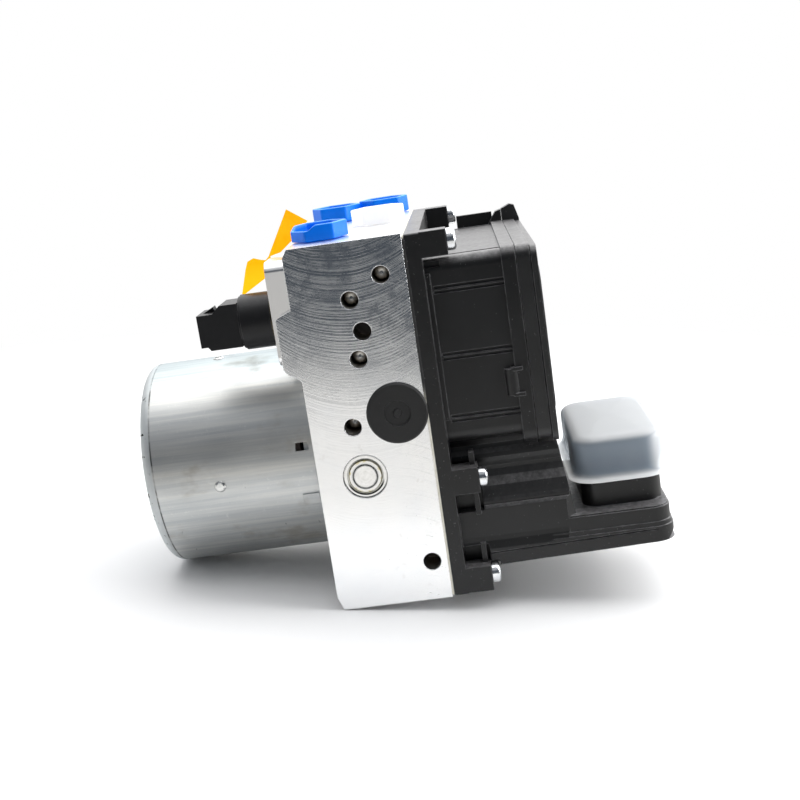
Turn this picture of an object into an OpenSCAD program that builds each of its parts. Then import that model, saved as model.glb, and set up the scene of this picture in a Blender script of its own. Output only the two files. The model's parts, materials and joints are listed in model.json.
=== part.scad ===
// Brake pressure control unit: a valve block with a pump motor on one face and a controller on the other.
// X runs from the motor to the controller, Y across the block, Z up to the brake line ports.
// The origin is the mouth of the threaded hole in the middle of the block's underside.

/* [Valve block] */
// Thickness of the block between motor and controller
block_t = 42.7; // [40:0.1:52]
// Width of the block, along the pump bores
block_w = 124.6; // [118:0.1:156]
// Height of the block up to the port face
block_h = 135.8; // [130:0.1:170]
// How far the cast pad stands out on the motor side
pad_proj = 5.9; // [3:0.1:8]
// How far the sensor boss stands out on the motor side
boss_proj = 9; // [8.2:0.1:12]

/* [Motor] */
// Outer diameter of the motor can
motor_d = 82; // [68:0.5:100]
// Length of the motor from the block to its closed end
motor_len = 70.6; // [64:0.1:90]
// Sheet thickness of the can
can_wall = 1.8; // [1.2:0.1:3]
// Diameter of the rotor shaft
shaft_d = 8; // [6.5:0.1:9.6]

/* [Pump] */
// Height of the motor and pump axis above the underside
pump_z = 50.3; // [46:0.1:54]
// Offset of the eccentric from the shaft's axis
eccentricity = 1.2; // [0.8:0.1:1.6]
// Diameter of a pump piston
piston_d = 8; // [6:0.1:9.6]
// Bore of an accumulator
accu_d = 16; // [13:0.1:17]

/* [Valves] */
// Diameter of a valve cartridge in the block
valve_d = 9.5; // [8:0.1:11.4]
// Spacing of the valves across the block
valve_pitch_y = 26; // [22:0.5:31]
// Stroke of a valve plunger
valve_stroke = 0.3; // [0.2:0.05:0.4]

/* [Ports] */
// Bore diameter of a brake line port's thread
port_d = 10.9; // [9:0.1:13]
// Width across the corners of a port plug
plug_d = 21.6; // [18:0.1:21.8]
// Bore diameter of the threaded mounting holes
mount_d = 6.6; // [5:0.1:8]

/* [Controller] */
// Thickness of the controller's mounting flange
flange_t = 5.4; // [4:0.1:8]
// Depth of the controller's box from its flange to its rim
box_depth = 27.6; // [24:0.1:36]
// Wall thickness of the mouldings
mould_wall = 2.4; // [1.8:0.1:3]
// Length of the plug connector across the shelf
conn_l = 61; // [46:0.5:64]
// Width of the plug connector
conn_w = 30; // [24:0.5:34]
// Height of the connector's shroud above the shelf
conn_h = 25.2; // [20:0.2:30]

/* [Hidden] */

$fn = 64;
NEAR = -1;
FAR = 1;
SIDES = [NEAR, FAR];
EPS = 0.01;

// Clearances: a running fit, a located fit, and the gap between pieces that only stand side by side
run_fit = 0.05;
seat_fit = 0.1;
gap = 0.3;

// Main faces of the block
face_x = block_t / 2;
side_y = block_w / 2;

// Motor and rotor stations along X, all measured from the block's motor face
can_r = motor_d / 2;
can_in_r = can_r - can_wall;
can_end_x = -face_x - motor_len;
can_round = 4;
shield_t = 3;
shield_x = -face_x - shield_t;
bearing_r = 11;
bearing_t = 7;
hub_l = 9.9;
shaft_r = shaft_d / 2;
chamber_r = 18;
chamber_depth = 24.4;
chamber_end_x = -face_x + chamber_depth;
pump_x = -3.95;
magnet_t = 9;
air_gap = 0.8;
core_r = can_in_r - seat_fit - magnet_t - air_gap;
core_x0 = can_end_x + 16;
core_l = 28;
comm_r = 11;
comm_x0 = core_x0 + core_l + 6;
comm_l = 11;
rear_x0 = can_end_x + can_wall + gap;

// Eccentric and its bearing, centred on the pump bores
lobe_r = 8;
lobe_l = 12;
ecc_r = 12;
piston_tip = ecc_r + eccentricity + 0.4;
end_bore_r = 6.5;
end_bore_l = 7.2;

// Pump and accumulator stations, measured along Y from the block's side face inwards
pump_bore_r = 6.4;
plug_head_r = 8.25;
plug_head_t = 2.6;
plug_in = 15.3;
piston_r = piston_d / 2;
piston_out = 27.3;
guide_in = 36.3;
accu_r = accu_d / 2;
accu_x = 11.05;
accu_z = 72.3;
accu_depth = 30;
accu_cap_r = 11.2;
accu_cap_t = 1.2;
accu_spigot = 6;
accu_piston_l = 8;
accu_piston_in = accu_depth - accu_piston_l - gap;

// Cross drillings in both side faces: place along X, height, depth of the step and of the whole bore
drill_r = 3.2;
ball_r = 3.14;
DRILLINGS = [
    [12.35, block_h - 13.3, 12, 20],
    [0.15, block_h - 20.8, 12, 22],
    [0.15, block_h - 42.3, 12, 20],
    [-5.65, 69.1, 14, 24]
];
upper_thread = [2.95, block_h - 32.4];
lower_thread = [15.75, 14.8];
thread_depth = 14;

// Ports on the top face and on the pad
TOP_PORTS = [[-9.5, -38], [-10.2, side_y - 16.3], [10.2, side_y - 11.3], [10.2, 2]];
// The inlet ports sit on the pad, high enough for their plugs to clear the motor
inlet_z = max(block_h - 33.7, pump_z + motor_d / 2 + plug_d / 2);
INLET_PORTS = [[14, inlet_z], [40, inlet_z]];
port_sink_r = port_d / 2 + 1.15;
port_sink = 2.5;
port_thread = 7;
plug_h = 7;
plug_wall = 2.1;
PLUG_TURNS = [7, -4, 10, 0];

// Valves stand in two rows under the coils; the upper row holds the inlet valves
valve_r = valve_d / 2;
VALVE_ROWS = [block_h - 25.8, block_h - 47.8];
VALVE_COLS = [-1.5 * valve_pitch_y, -0.5 * valve_pitch_y, 0.5 * valve_pitch_y, 1.5 * valve_pitch_y];
VALVES = [for (z = VALVE_ROWS) for (y = VALVE_COLS) [y, z]];
valve_in = 15;
dome_r = 3.1;
dome_l = 16;
plunger_r = 2.05;
coil_r = 8.4;

// Controller stations along X
gasket_t = 0.8;
flange_x0 = face_x + gasket_t;
flange_x1 = flange_x0 + flange_t;
rim_x0 = flange_x1 + box_depth;
rim_x1 = rim_x0 + 5;
lid_x1 = rim_x1 + 7.6;
flange_top = block_h - 0.5;
flange_bottom = 0.2;

// Controller box in the YZ plane
box_y = side_y - 4.3;
box_z0 = 57;
box_z1 = block_h - 10.8;
box_round = 4.5;
rim_proud = 1.2;
cavity_y = box_y - mould_wall;
lower_cavity_y = box_y - 9 - mould_wall;
board_x = rim_x0 - 7.7;
board_t = 1.6;
board_y = 50;

// Screw towers, three on each side: heights of the screws, and lower and upper face of each tower
tower_w = 9;
tower_len = 9.4;
screw_y = side_y - 4.5;
SCREW_Z = [flange_top - 4.2, 43.5, 6.2];
TOWERS = [[flange_top - 9.2, flange_top], [38.7, 48.2], [0.7, 10.2]];
screw_r = 2.5;
screw_in = 7;
head_r = 4;
head_h = 3.3;

// Connector shelf and shroud
shelf_z0 = 10;
shelf_z1 = 23.3;
shelf_y0 = -(box_y - 0.5);
shelf_y1 = shelf_y0 + conn_l + 18;
shelf_x1 = rim_x1 + 46.3;
ledge_z = 16.4;
ledge_in = 0.8;
under_rise = 1.7;
shelf_round = 7;
wall_top_z = 51.5;
wall_x0 = rim_x1 + 7;
wall_x1 = rim_x1 + 10.8;
conn_x = shelf_x1 - 17.1;
conn_y = shelf_y0 + 8.9 + conn_l / 2;
conn_top = shelf_z1 + conn_h;
conn_floor = shelf_z1 + 3;
conn_wall = 2.2;
conn_round = 7;
cap_wall = 1.2;
cap_top = conn_top + gap + cap_wall;
cap_rim_z = conn_top - 15;
cap_flare = 2.6;
cap_flare_h = 3.4;
PIN_ROWS = [-6, 6];
pin_count = 12;
pin_pitch = (conn_l - 14) / (pin_count - 1);
pin_w = 0.8;
pin_l = 1.8;
pin_top = conn_floor + 12;
pin_root = 2;

// Pressure sensor in the boss
sensor_y = -34;
sensor_z = block_h - 27.1;
boss_y0 = sensor_y - 16;
boss_y1 = sensor_y + 20;
boss_z0 = sensor_z - 16.5;
boss_z1 = sensor_z + 22.3;
boss_x = -face_x - boss_proj;
sensor_r = 10.5;
sensor_stem_r = 4.6;
sensor_stem_l = 12;
collar_r = 7.6;
collar_t = 1.5;
drum_l = 12.2;
neck_l = 13;
socket_w = 13;
socket_h = 9.2;
socket_depth = 9;

// Motor feed through the block
feed_y = 24;
feed_z = 62;
feed_r = 3.9;

// Colours
ALU = [0.78, 0.79, 0.8];
STEEL = [0.62, 0.63, 0.65];
ZINC = [0.7, 0.7, 0.68];
BLACK = [0.12, 0.12, 0.13];
COPPER = [0.72, 0.42, 0.24];
BLUE = [0.05, 0.36, 0.85];
YELLOW = [1, 0.72, 0];

// Frames: each turns a piece built along +Z so that it stands out of one face of the block
module on_side(side, x, z) {
    translate([x, side * side_y, z])
        rotate([-90 * side, 0, 0])
            children();
}

module on_top(place) {
    translate([place[0], place[1], block_h])
        children();
}

module on_pad(place) {
    translate([-face_x - pad_proj, place[0], place[1]])
        rotate([0, -90, 0])
            children();
}

module on_ecu_face(place) {
    translate([face_x, place[0], place[1]])
        rotate([0, 90, 0])
            children();
}

// A piece built along +Z from the station x on the motor axis, towards the controller
module on_axis(x) {
    translate([x, 0, pump_z])
        rotate([0, 90, 0])
            children();
}

// A YZ outline run along X
module along_x(x0, x1) {
    translate([x0, 0, 0])
        rotate([90, 0, 90])
            linear_extrude(x1 - x0)
                children();
}

// An XZ outline run along Y
module along_y(y0, y1) {
    translate([0, y1, 0])
        rotate([90, 0, 0])
            linear_extrude(y1 - y0)
                children();
}

// Rectangle from one corner to the other with round corners
module round_rect(low, high, r) {
    w = high[0] - low[0];
    h = high[1] - low[1];
    translate([low[0] + r, low[1]])
        square([w - 2 * r, h]);
    translate([low[0], low[1] + r])
        square([w, h - 2 * r]);
    for (x = [low[0] + r, high[0] - r], y = [low[1] + r, high[1] - r])
        translate([x, y])
            circle(r);
}

module box(low, high) {
    translate(low)
        cube(high - low);
}

module ring(r_out, r_in, h) {
    difference() {
        cylinder(r = r_out, h = h);
        translate([0, 0, -1])
            cylinder(r = r_in, h = h + 2);
    }
}

// Coil spring along +Z: wire of radius w wound at mean radius r, with flat-cut ends left plain
function coil_point(r, h, turns, k, n) =
    let (a = 360 * turns * k / n)
    [r * cos(a), r * sin(a), h * k / n];

module spring(r, w, h, turns, per_turn, wire_sides) {
    n = turns * per_turn;
    rings = [
        for (k = [0:n])
            let (a = 360 * turns * k / n, c = coil_point(r, h, turns, k, n))
            for (s = [0:wire_sides - 1])
                let (b = 360 * s / wire_sides)
                [c[0] + w * cos(b) * cos(a), c[1] + w * cos(b) * sin(a), c[2] + w * sin(b)]
    ];
    skin = [
        for (k = [0:n - 1])
            for (s = [0:wire_sides - 1])
                let (t = (s + 1) % wire_sides, i = k * wire_sides, j = i + wire_sides)
                each [[i + s, j + s, j + t], [i + s, j + t, i + t]]
    ];
    first = [for (s = [0:wire_sides - 1]) s];
    last = [for (s = [wire_sides - 1:-1:0]) n * wire_sides + s];
    polyhedron(rings, concat([first], skin, [last]));
}

// Valve block

module block_outline() {
    polygon([
        [face_x, 0],
        [face_x, block_h],
        [-face_x + 2, block_h],
        [-face_x, block_h - 3],
        [-face_x, inlet_z + 12],
        [-face_x - pad_proj + 0.7, inlet_z + 9.9],
        [-face_x - pad_proj, inlet_z + 8.9],
        [-face_x - pad_proj, inlet_z - 8.9],
        [-face_x - pad_proj + 1.6, inlet_z - 11.3],
        [-face_x - 1.6, inlet_z - 12.5],
        [-face_x, inlet_z - 14.1],
        [-face_x, 5],
        [-face_x + 2, 0]
    ]);
}

module sensor_boss() {
    along_x(boss_x, -face_x + 1)
        round_rect([boss_y0, boss_z0], [boss_y1, boss_z1], 5);
}

// Counterbore, thread bore, seat cone and feed drilling of one port
module port_cut() {
    seat = port_sink + port_thread;
    translate([0, 0, -port_sink])
        cylinder(r = port_sink_r, h = port_sink + 1);
    translate([0, 0, -seat])
        cylinder(r = port_d / 2, h = seat);
    translate([0, 0, -seat - 2.5])
        cylinder(r1 = 2, r2 = port_d / 2, h = 2.5 + EPS);
    translate([0, 0, -seat - 9])
        cylinder(r = 2, h = 9);
}

module side_cuts(side) {
    on_side(side, pump_x, pump_z) {
        translate([0, 0, -plug_head_t])
            cylinder(r = plug_head_r, h = plug_head_t + 1);
        translate([0, 0, -guide_in])
            cylinder(r = pump_bore_r, h = guide_in);
        translate([0, 0, -side_y + chamber_r - 2])
            cylinder(r = piston_r + run_fit, h = side_y - chamber_r + 1);
    }
    on_side(side, accu_x, accu_z)
        translate([0, 0, -accu_depth])
            cylinder(r = accu_r, h = accu_depth + 1);
    for (d = DRILLINGS)
        on_side(side, d[0], d[1]) {
            translate([0, 0, -d[2]])
                cylinder(r = drill_r, h = d[2] + 1);
            translate([0, 0, -d[3]])
                cylinder(r = 2.1, h = d[3]);
        }
    for (t = [upper_thread, lower_thread])
        on_side(side, t[0], t[1])
            translate([0, 0, -thread_depth])
                cylinder(d = mount_d, h = thread_depth + 1);
}

module valve_cut() {
    translate([0, 0, -valve_in - 0.3])
        cylinder(r = valve_r, h = valve_in + 1.3);
    translate([0, 0, -valve_in - 7])
        cylinder(r = 1.5, h = 8);
}

module hydraulic_block() {
    color(ALU)
        difference() {
            union() {
                along_y(-side_y, side_y)
                    block_outline();
                sensor_boss();
            }
            on_axis(-face_x - 1)
                cylinder(r = chamber_r, h = chamber_depth + 1);
            on_axis(chamber_end_x - 1)
                cylinder(r = end_bore_r, h = end_bore_l + 1);
            // Relief that lets the motor pass under the pad
            on_axis(-face_x - boss_proj - 3)
                cylinder(r = can_r + 0.8, h = boss_proj + 3);
            for (side = SIDES)
                side_cuts(side);
            for (p = TOP_PORTS)
                on_top(p)
                    port_cut();
            for (p = INLET_PORTS)
                on_pad(p)
                    port_cut();
            for (v = VALVES)
                on_ecu_face(v)
                    valve_cut();
            for (side = SIDES, z = SCREW_Z)
                on_ecu_face([side * screw_y, z])
                    translate([0, 0, -screw_in - 0.6])
                        cylinder(r = screw_r, h = screw_in + 1.6);
            translate([0, 0, -1])
                cylinder(d = mount_d, h = thread_depth + 1);
            translate([boss_x - 1, sensor_y, sensor_z])
                rotate([0, 90, 0])
                    cylinder(r = sensor_stem_r, h = sensor_stem_l + 3);
            translate([-face_x - 1, feed_y, feed_z])
                rotate([0, 90, 0])
                    cylinder(r = feed_r + gap, h = block_t + 2);
        }
}

// Steel balls that close the cross drillings, each on the edge of its narrow bore
module passage_balls() {
    seat_rise = sqrt(ball_r * ball_r - 2.1 * 2.1);
    color(STEEL)
        for (side = SIDES, d = DRILLINGS)
            on_side(side, d[0], d[1])
                translate([0, 0, -d[2] + seat_rise + 0.02])
                    sphere(ball_r);
}

// Motor

rivet_angle = 3.5;
rivet_x = -face_x - 41;
window_x0 = -face_x - 10;
WINDOW_ANGLES = [12.5, 132.5, 252.5];

// Turns a piece that points along -Y about the motor axis, upwards for a positive angle
module about_axis(angle) {
    translate([0, 0, pump_z])
        rotate([-angle, 0, 0])
            children();
}

function arc(cx, cy, r, from, to, steps) =
    [for (i = [0:steps]) let (a = from + (to - from) * i / steps) [cx + r * cos(a), cy + r * sin(a)]];

module can_profile() {
    l = motor_len - shield_t - gap;
    corner_in = can_round - can_wall;
    polygon(concat(
        [[0, 0]],
        arc(can_r - can_round, can_round, can_round, -90, 0, 6),
        [[can_r, l], [can_in_r, l]],
        arc(can_in_r - corner_in, can_round, corner_in, 0, -90, 4),
        [[0, can_wall]]
    ));
}

module motor_can() {
    color(ZINC)
        difference() {
            union() {
                on_axis(can_end_x)
                    rotate_extrude($fn = 128)
                        can_profile();
                on_axis(can_end_x + can_wall - EPS)
                    ring(bearing_r + seat_fit + 1.6, bearing_r + seat_fit, bearing_t);
                // Tongues pressed out of the can's mouth over the end shield's rim
                for (a = WINDOW_ANGLES)
                    about_axis(a - 30)
                        box([window_x0, -can_r - 0.5, -2.5], [shield_x - 2 * gap, -can_r + 0.8, 2.5]);
            }
            for (a = WINDOW_ANGLES)
                about_axis(a)
                    box([window_x0, -can_r - 1, -1.6], [window_x0 + 5, -can_in_r + 1, 1.6]);
            for (a = [0:90:270])
                about_axis(a - rivet_angle)
                    translate([rivet_x, 0, 0])
                        rotate([90, 0, 0])
                            cylinder(r = 1.6, h = can_r + 1);
        }
}

// Four rivets that hold the magnets' clips, with domed heads outside the can
module can_rivets() {
    color(ZINC)
        for (a = [0:90:270])
            about_axis(a - rivet_angle)
                translate([rivet_x, 0, 0])
                    rotate([90, 0, 0])
                        intersection() {
                            union() {
                                translate([0, 0, can_in_r])
                                    cylinder(r = 1.5, h = can_wall + 1);
                                translate([0, 0, can_r - 2.2])
                                    sphere(3.2);
                            }
                            difference() {
                                translate([0, 0, can_in_r])
                                    cylinder(r = 2.3, h = can_wall + 3);
                                translate([0, 0, can_r - 5])
                                    ring(6, 1.5, 5.05);
                            }
                        }
}

module motor_magnets() {
    span = 132;
    color([0.25, 0.25, 0.27])
        for (a = [0, 180])
            on_axis(core_x0 - 3)
                rotate([0, 0, a - span / 2])
                    rotate_extrude(angle = span, $fn = 96)
                        translate([can_in_r - seat_fit - magnet_t, 0])
                            square([magnet_t, core_l + 6]);
}

// Steel disc that closes the can and carries the front bearing in its hub
module end_shield() {
    color(STEEL)
        difference() {
            union() {
                on_axis(shield_x)
                    cylinder(r = can_r - 1, h = shield_t, $fn = 128);
                on_axis(shield_x)
                    cylinder(r = chamber_r - seat_fit, h = hub_l);
                on_axis(shield_x - 4)
                    difference() {
                        cylinder(r = can_in_r - seat_fit, h = 4 + EPS, $fn = 128);
                        translate([0, 0, -1])
                            cylinder(r = can_in_r - 2, h = 6, $fn = 128);
                    }
            }
            on_axis(shield_x - 1)
                cylinder(r = shaft_r + 2.5, h = hub_l + 2);
            on_axis(shield_x + hub_l - bearing_t)
                cylinder(r = bearing_r + run_fit, h = bearing_t + 1);
            translate([shield_x - 1, feed_y, feed_z])
                rotate([0, 90, 0])
                    cylinder(r = feed_r + gap, h = shield_t + 2);
        }
}

// Ball bearing drawn as its two rings with the shield disc between them
module ball_bearing() {
    rotate_extrude()
        polygon([
            [shaft_r + run_fit, 0],
            [shaft_r + 2, 0],
            [shaft_r + 2, 0.5],
            [bearing_r - 2, 0.5],
            [bearing_r - 2, 0],
            [bearing_r, 0],
            [bearing_r, bearing_t],
            [bearing_r - 2, bearing_t],
            [bearing_r - 2, bearing_t - 0.5],
            [shaft_r + 2, bearing_t - 0.5],
            [shaft_r + 2, bearing_t],
            [shaft_r + run_fit, bearing_t]
        ]);
}

module rear_bearing() {
    color(STEEL)
        on_axis(rear_x0)
            ball_bearing();
}

module front_bearing() {
    color(STEEL)
        on_axis(shield_x + hub_l - bearing_t)
            ball_bearing();
}

module rotor_shaft() {
    color(STEEL) {
        on_axis(rear_x0 + 0.4)
            cylinder(r = shaft_r, h = chamber_end_x + end_bore_l - 0.5 - rear_x0 - 0.4);
        translate([0, 0, eccentricity])
            on_axis(pump_x - lobe_l / 2)
                cylinder(r = lobe_r, h = lobe_l);
    }
}

slot_count = 12;
slot_w = 5.4;
slot_depth = 11;

module armature_core() {
    color([0.4, 0.41, 0.43])
        on_axis(core_x0)
            linear_extrude(core_l)
                difference() {
                    circle(core_r, $fn = 96);
                    circle(shaft_r);
                    for (i = [0:slot_count - 1])
                        rotate(i * 360 / slot_count) {
                            translate([core_r - slot_depth - 1.6, -slot_w / 2])
                                square([slot_depth, slot_w]);
                            translate([core_r - 3, -1])
                                square([4, 2]);
                        }
                }
}

// Wire in the slots, joined by the end turns on both sides of the core
module armature_windings() {
    end_in = core_r - slot_depth - 1.6 + gap;
    end_out = core_r - 1.6 - gap;
    color(COPPER) {
        on_axis(core_x0 - gap)
            for (i = [0:slot_count - 1])
                rotate([0, 0, i * 360 / slot_count])
                    translate([end_in, -slot_w / 2 + gap, 0])
                        cube([end_out - end_in, slot_w - 2 * gap, core_l + 2 * gap]);
        for (x = [core_x0 - gap - 4, core_x0 + core_l + gap])
            on_axis(x)
                rotate_extrude()
                    polygon([[end_in - 3, 0.8], [end_in - 2, 0], [end_out - 2, 0], [end_out, 1.6],
                        [end_out, 2.4], [end_out - 2, 4], [end_in - 2, 4], [end_in - 3, 3.2]]);
    }
}

module commutator() {
    bars = 16;
    color(COPPER)
        on_axis(comm_x0)
            difference() {
                ring(comm_r, shaft_r, comm_l);
                for (i = [0:bars - 1])
                    rotate([0, 0, i * 360 / bars])
                        translate([comm_r - 1.4, -0.3, -1])
                            cube([3, 0.6, comm_l - 0.5]);
            }
}

brush_x0 = comm_x0 + 1.5;
brush_l = 7;
brush_w = 6;
brush_out = 24;
plate_x0 = shield_x - gap - 8.2;

// Box round a brush above or below the commutator, from its inner radius outwards, grown by some slack
module brush_box(side, r_in, x0, x1, grow) {
    translate([0, 0, pump_z])
        mirror([0, 0, side > 0 ? 0 : 1])
            box([x0, -brush_w / 2 - grow, r_in], [x1, brush_w / 2 + grow, brush_out + grow]);
}

module brush_holder() {
    guide_t = 1.4;
    guide_slack = 0.2;
    color([0.2, 0.16, 0.13])
        difference() {
            union() {
                on_axis(plate_x0)
                    ring(can_in_r - gap, comm_r + 2, 3.2);
                for (side = SIDES)
                    brush_box(side, comm_r + 2, brush_x0 - guide_t, plate_x0 + 1, guide_t);
            }
            for (side = SIDES)
                brush_box(side, comm_r, brush_x0 - guide_slack, brush_x0 + brush_l + guide_slack, guide_slack);
        }
}

module carbon_brushes() {
    color([0.15, 0.15, 0.16])
        for (side = SIDES)
            difference() {
                brush_box(side, comm_r - 2, brush_x0, brush_x0 + brush_l, 0);
                on_axis(brush_x0 - 1)
                    cylinder(r = comm_r + gap, h = brush_l + 2);
            }
}

module eccentric_bearing() {
    color(STEEL)
        translate([0, 0, eccentricity])
            on_axis(pump_x - lobe_l / 2 + 0.5)
                ring(ecc_r, lobe_r, lobe_l - 1);
}

module shaft_end_bearing() {
    color(STEEL)
        on_axis(chamber_end_x + 0.2)
            ring(end_bore_r - run_fit, shaft_r + run_fit, end_bore_l - 1);
}

// Insulated feed rod from the brush holder through the block to the circuit board
module motor_feed() {
    x0 = plate_x0 + 3.2 + 0.2;
    color(BLACK)
        translate([x0, feed_y, feed_z])
            rotate([0, 90, 0])
                cylinder(r = feed_r, h = board_x - 0.2 - x0);
}

// Pump

module pump_piston(side) {
    tip = piston_tip - side_y;
    color(STEEL)
        on_side(side, pump_x, pump_z) {
            translate([0, 0, tip])
                cylinder(r = piston_r, h = -piston_out - tip);
            translate([0, 0, -piston_out - 2])
                cylinder(r = pump_bore_r - 0.8, h = 2);
        }
}

module pump_spring(side) {
    wire = 0.6;
    l = piston_out - plug_in - 2 * wire - 0.4;
    color(STEEL)
        on_side(side, pump_x, pump_z)
            translate([0, 0, -piston_out + wire + 0.2])
                spring(4.6, wire, l, 4, 12, 6);
}

module pump_plug(side) {
    color([0.75, 0.76, 0.78])
        on_side(side, pump_x, pump_z)
            rotate_extrude()
                polygon([
                    [0, -plug_in],
                    [pump_bore_r - 0.6, -plug_in],
                    [pump_bore_r - run_fit, -plug_in + 0.6],
                    [pump_bore_r - run_fit, -plug_head_t],
                    [plug_head_r - run_fit, -plug_head_t],
                    [plug_head_r - run_fit, -0.9],
                    [plug_head_r - 0.5, -0.4],
                    [pump_bore_r + 0.3, -0.4],
                    [pump_bore_r, -1.2],
                    [pump_bore_r - 0.3, 0.1],
                    [4.6, 0.1],
                    [4.4, -0.6],
                    [4.2, 0.3],
                    [0, 0.3]
                ]);
}

module accumulator_piston(side) {
    color(BLACK)
        on_side(side, accu_x, accu_z)
            translate([0, 0, -accu_piston_in - accu_piston_l])
                difference() {
                    cylinder(r = accu_r - run_fit, h = accu_piston_l);
                    translate([0, 0, 2.4])
                        cylinder(r = accu_r - 2.2, h = accu_piston_l);
                }
}

module accumulator_spring(side) {
    wire = 0.7;
    z0 = -accu_piston_in - accu_piston_l + 2.4;
    l = -accu_spigot - z0 - 2 * wire - 0.4;
    color(STEEL)
        on_side(side, accu_x, accu_z)
            translate([0, 0, z0 + wire + 0.2])
                spring(accu_r - 4, wire, l, 4, 12, 6);
}

module accumulator_cap(side) {
    color(BLACK)
        on_side(side, accu_x, accu_z)
            rotate_extrude()
                polygon([
                    [0, -accu_spigot],
                    [accu_r - 0.8, -accu_spigot],
                    [accu_r - run_fit, -accu_spigot + 0.8],
                    [accu_r - run_fit, 0],
                    [accu_cap_r, 0],
                    [accu_cap_r, accu_cap_t - 0.5],
                    [accu_cap_r - 0.6, accu_cap_t],
                    [4.9, accu_cap_t],
                    [4.6, accu_cap_t - 0.7],
                    [1.6, accu_cap_t - 0.7],
                    [1.3, accu_cap_t],
                    [0, accu_cap_t]
                ]);
}

// Valves

module valve_body() {
    color(STEEL)
        rotate_extrude($fn = 48)
            polygon([
                [0.6, -valve_in],
                [valve_r - 1.2, -valve_in],
                [valve_r - run_fit, -valve_in + 1.6],
                [valve_r - run_fit, 0],
                [valve_r + 0.9, 0],
                [valve_r + 0.9, 1],
                [dome_r, 1],
                [dome_r, dome_l - 1.2],
                [dome_r - 1.2, dome_l],
                [0, dome_l],
                [0, dome_l - 1.2],
                [plunger_r + run_fit, dome_l - 1.2],
                [plunger_r + run_fit, -5.5],
                [1.2, -5.5],
                [1.2, -11],
                [0.6, -11]
            ]);
}

module inlet_valves() {
    for (i = [0:3])
        on_ecu_face(VALVES[i])
            valve_body();
}

module outlet_valves() {
    for (i = [4:7])
        on_ecu_face(VALVES[i])
            valve_body();
}

// An inlet valve stands open at rest and an outlet valve shut, so their needles differ by the stroke
module valve_plunger(i) {
    lift = i <= 4 ? valve_stroke : 0;
    color([0.5, 0.5, 0.52])
        on_ecu_face(VALVES[i - 1])
            translate([0, 0, lift]) {
                translate([0, 0, 0.6])
                    cylinder(r = plunger_r, h = 12);
                translate([0, 0, -10.9])
                    cylinder(r = 0.9, h = 11.6);
            }
}

module valve_springs() {
    wire = 0.3;
    color(STEEL)
        for (v = VALVES)
            on_ecu_face(v)
                translate([0, 0, -5.5 + wire + 0.1])
                    spring(1.5, wire, 4.8, 3, 10, 5);
}

// Wound coil with its two leads to the circuit board
module solenoid_coils() {
    coil_x0 = 1.3;
    coil_l = 14;
    color(COPPER)
        for (v = VALVES)
            on_ecu_face(v) {
                translate([0, 0, coil_x0])
                    difference() {
                        cylinder(r = coil_r, h = coil_l, $fn = 48);
                        translate([0, 0, -1])
                            cylinder(r = dome_r + gap, h = coil_l + 2, $fn = 48);
                        translate([0, 0, 1.5])
                            ring(coil_r + 1, coil_r - 0.8, coil_l - 3);
                    }
                for (s = SIDES)
                    translate([0, s * 6, coil_x0 + coil_l - 0.5])
                        cylinder(r = 0.4, h = board_x - face_x - coil_x0 - coil_l + 0.2, $fn = 16);
            }
}

// Controller

module screw_holes(r, x0, x1) {
    for (side = SIDES, z = SCREW_Z)
        translate([x0, side * screw_y, z])
            rotate([0, 90, 0])
                cylinder(r = r, h = x1 - x0);
}

module housing_gasket() {
    color([0.86, 0.83, 0.74])
        difference() {
            along_x(face_x, flange_x0)
                round_rect([-side_y, flange_bottom + 0.3], [side_y, flange_top - 0.2], 1);
            along_x(face_x - 1, flange_x0 + 1)
                round_rect([-lower_cavity_y, 13], [lower_cavity_y, block_h - 14], 4);
            screw_holes(screw_r + gap, face_x - 1, flange_x0 + 1);
        }
}

// Half of the stepped lower side, from the shelf's underside up to the box
module lower_half_outline() {
    y = box_y - 0.5;
    polygon([
        [-EPS, shelf_z0 - under_rise],
        [y, shelf_z0 - under_rise],
        [y, ledge_z - 1.4],
        [y - 0.3, ledge_z],
        [y - 0.65, ledge_z + 1.6],
        [y - ledge_in, ledge_z + 3.4],
        [y - ledge_in, 30.5],
        [y - ledge_in - 0.7, 31.5],
        [y - ledge_in - 1.4, 31.5],
        [y - ledge_in - 1.4, 32.8],
        [y - ledge_in - 2, 34],
        [y - 4.6, 38],
        [y - 6.8, 41],
        [y - 7.9, 43.4],
        [y - 7.9, 44.8],
        [y - 7, 46.6],
        [y - 6.4, 48.4],
        [y - 6.6, 50],
        [y - 7.6, 51.8],
        [y - 7.9, 53.4],
        [y - 6.6, 55.4],
        [y - 4, box_z0 + 1],
        [-EPS, box_z0 + 1]
    ]);
}

module lower_body() {
    intersection() {
        along_x(flange_x1 - EPS, wall_x1 + 1)
            union() {
                lower_half_outline();
                mirror([1, 0])
                    lower_half_outline();
            }
        along_y(-side_y, side_y)
            polygon([
                [flange_x1 - EPS, shelf_z0 - under_rise - 1],
                [wall_x1, shelf_z0 - under_rise - 1],
                [wall_x1, shelf_z1],
                [wall_x0, wall_top_z],
                [rim_x1, wall_top_z],
                [rim_x1, box_z0 + 2],
                [flange_x1 - EPS, box_z0 + 2]
            ]);
        linear_extrude(block_h)
            polygon([[flange_x1 - 8, shelf_y0], [wall_x1 - 4, shelf_y0], [wall_x1, shelf_y0 + 4],
                [wall_x1, -shelf_y0 - 4], [wall_x1 - 4, -shelf_y0], [flange_x1 - 8, -shelf_y0]]);
    }
}

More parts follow.
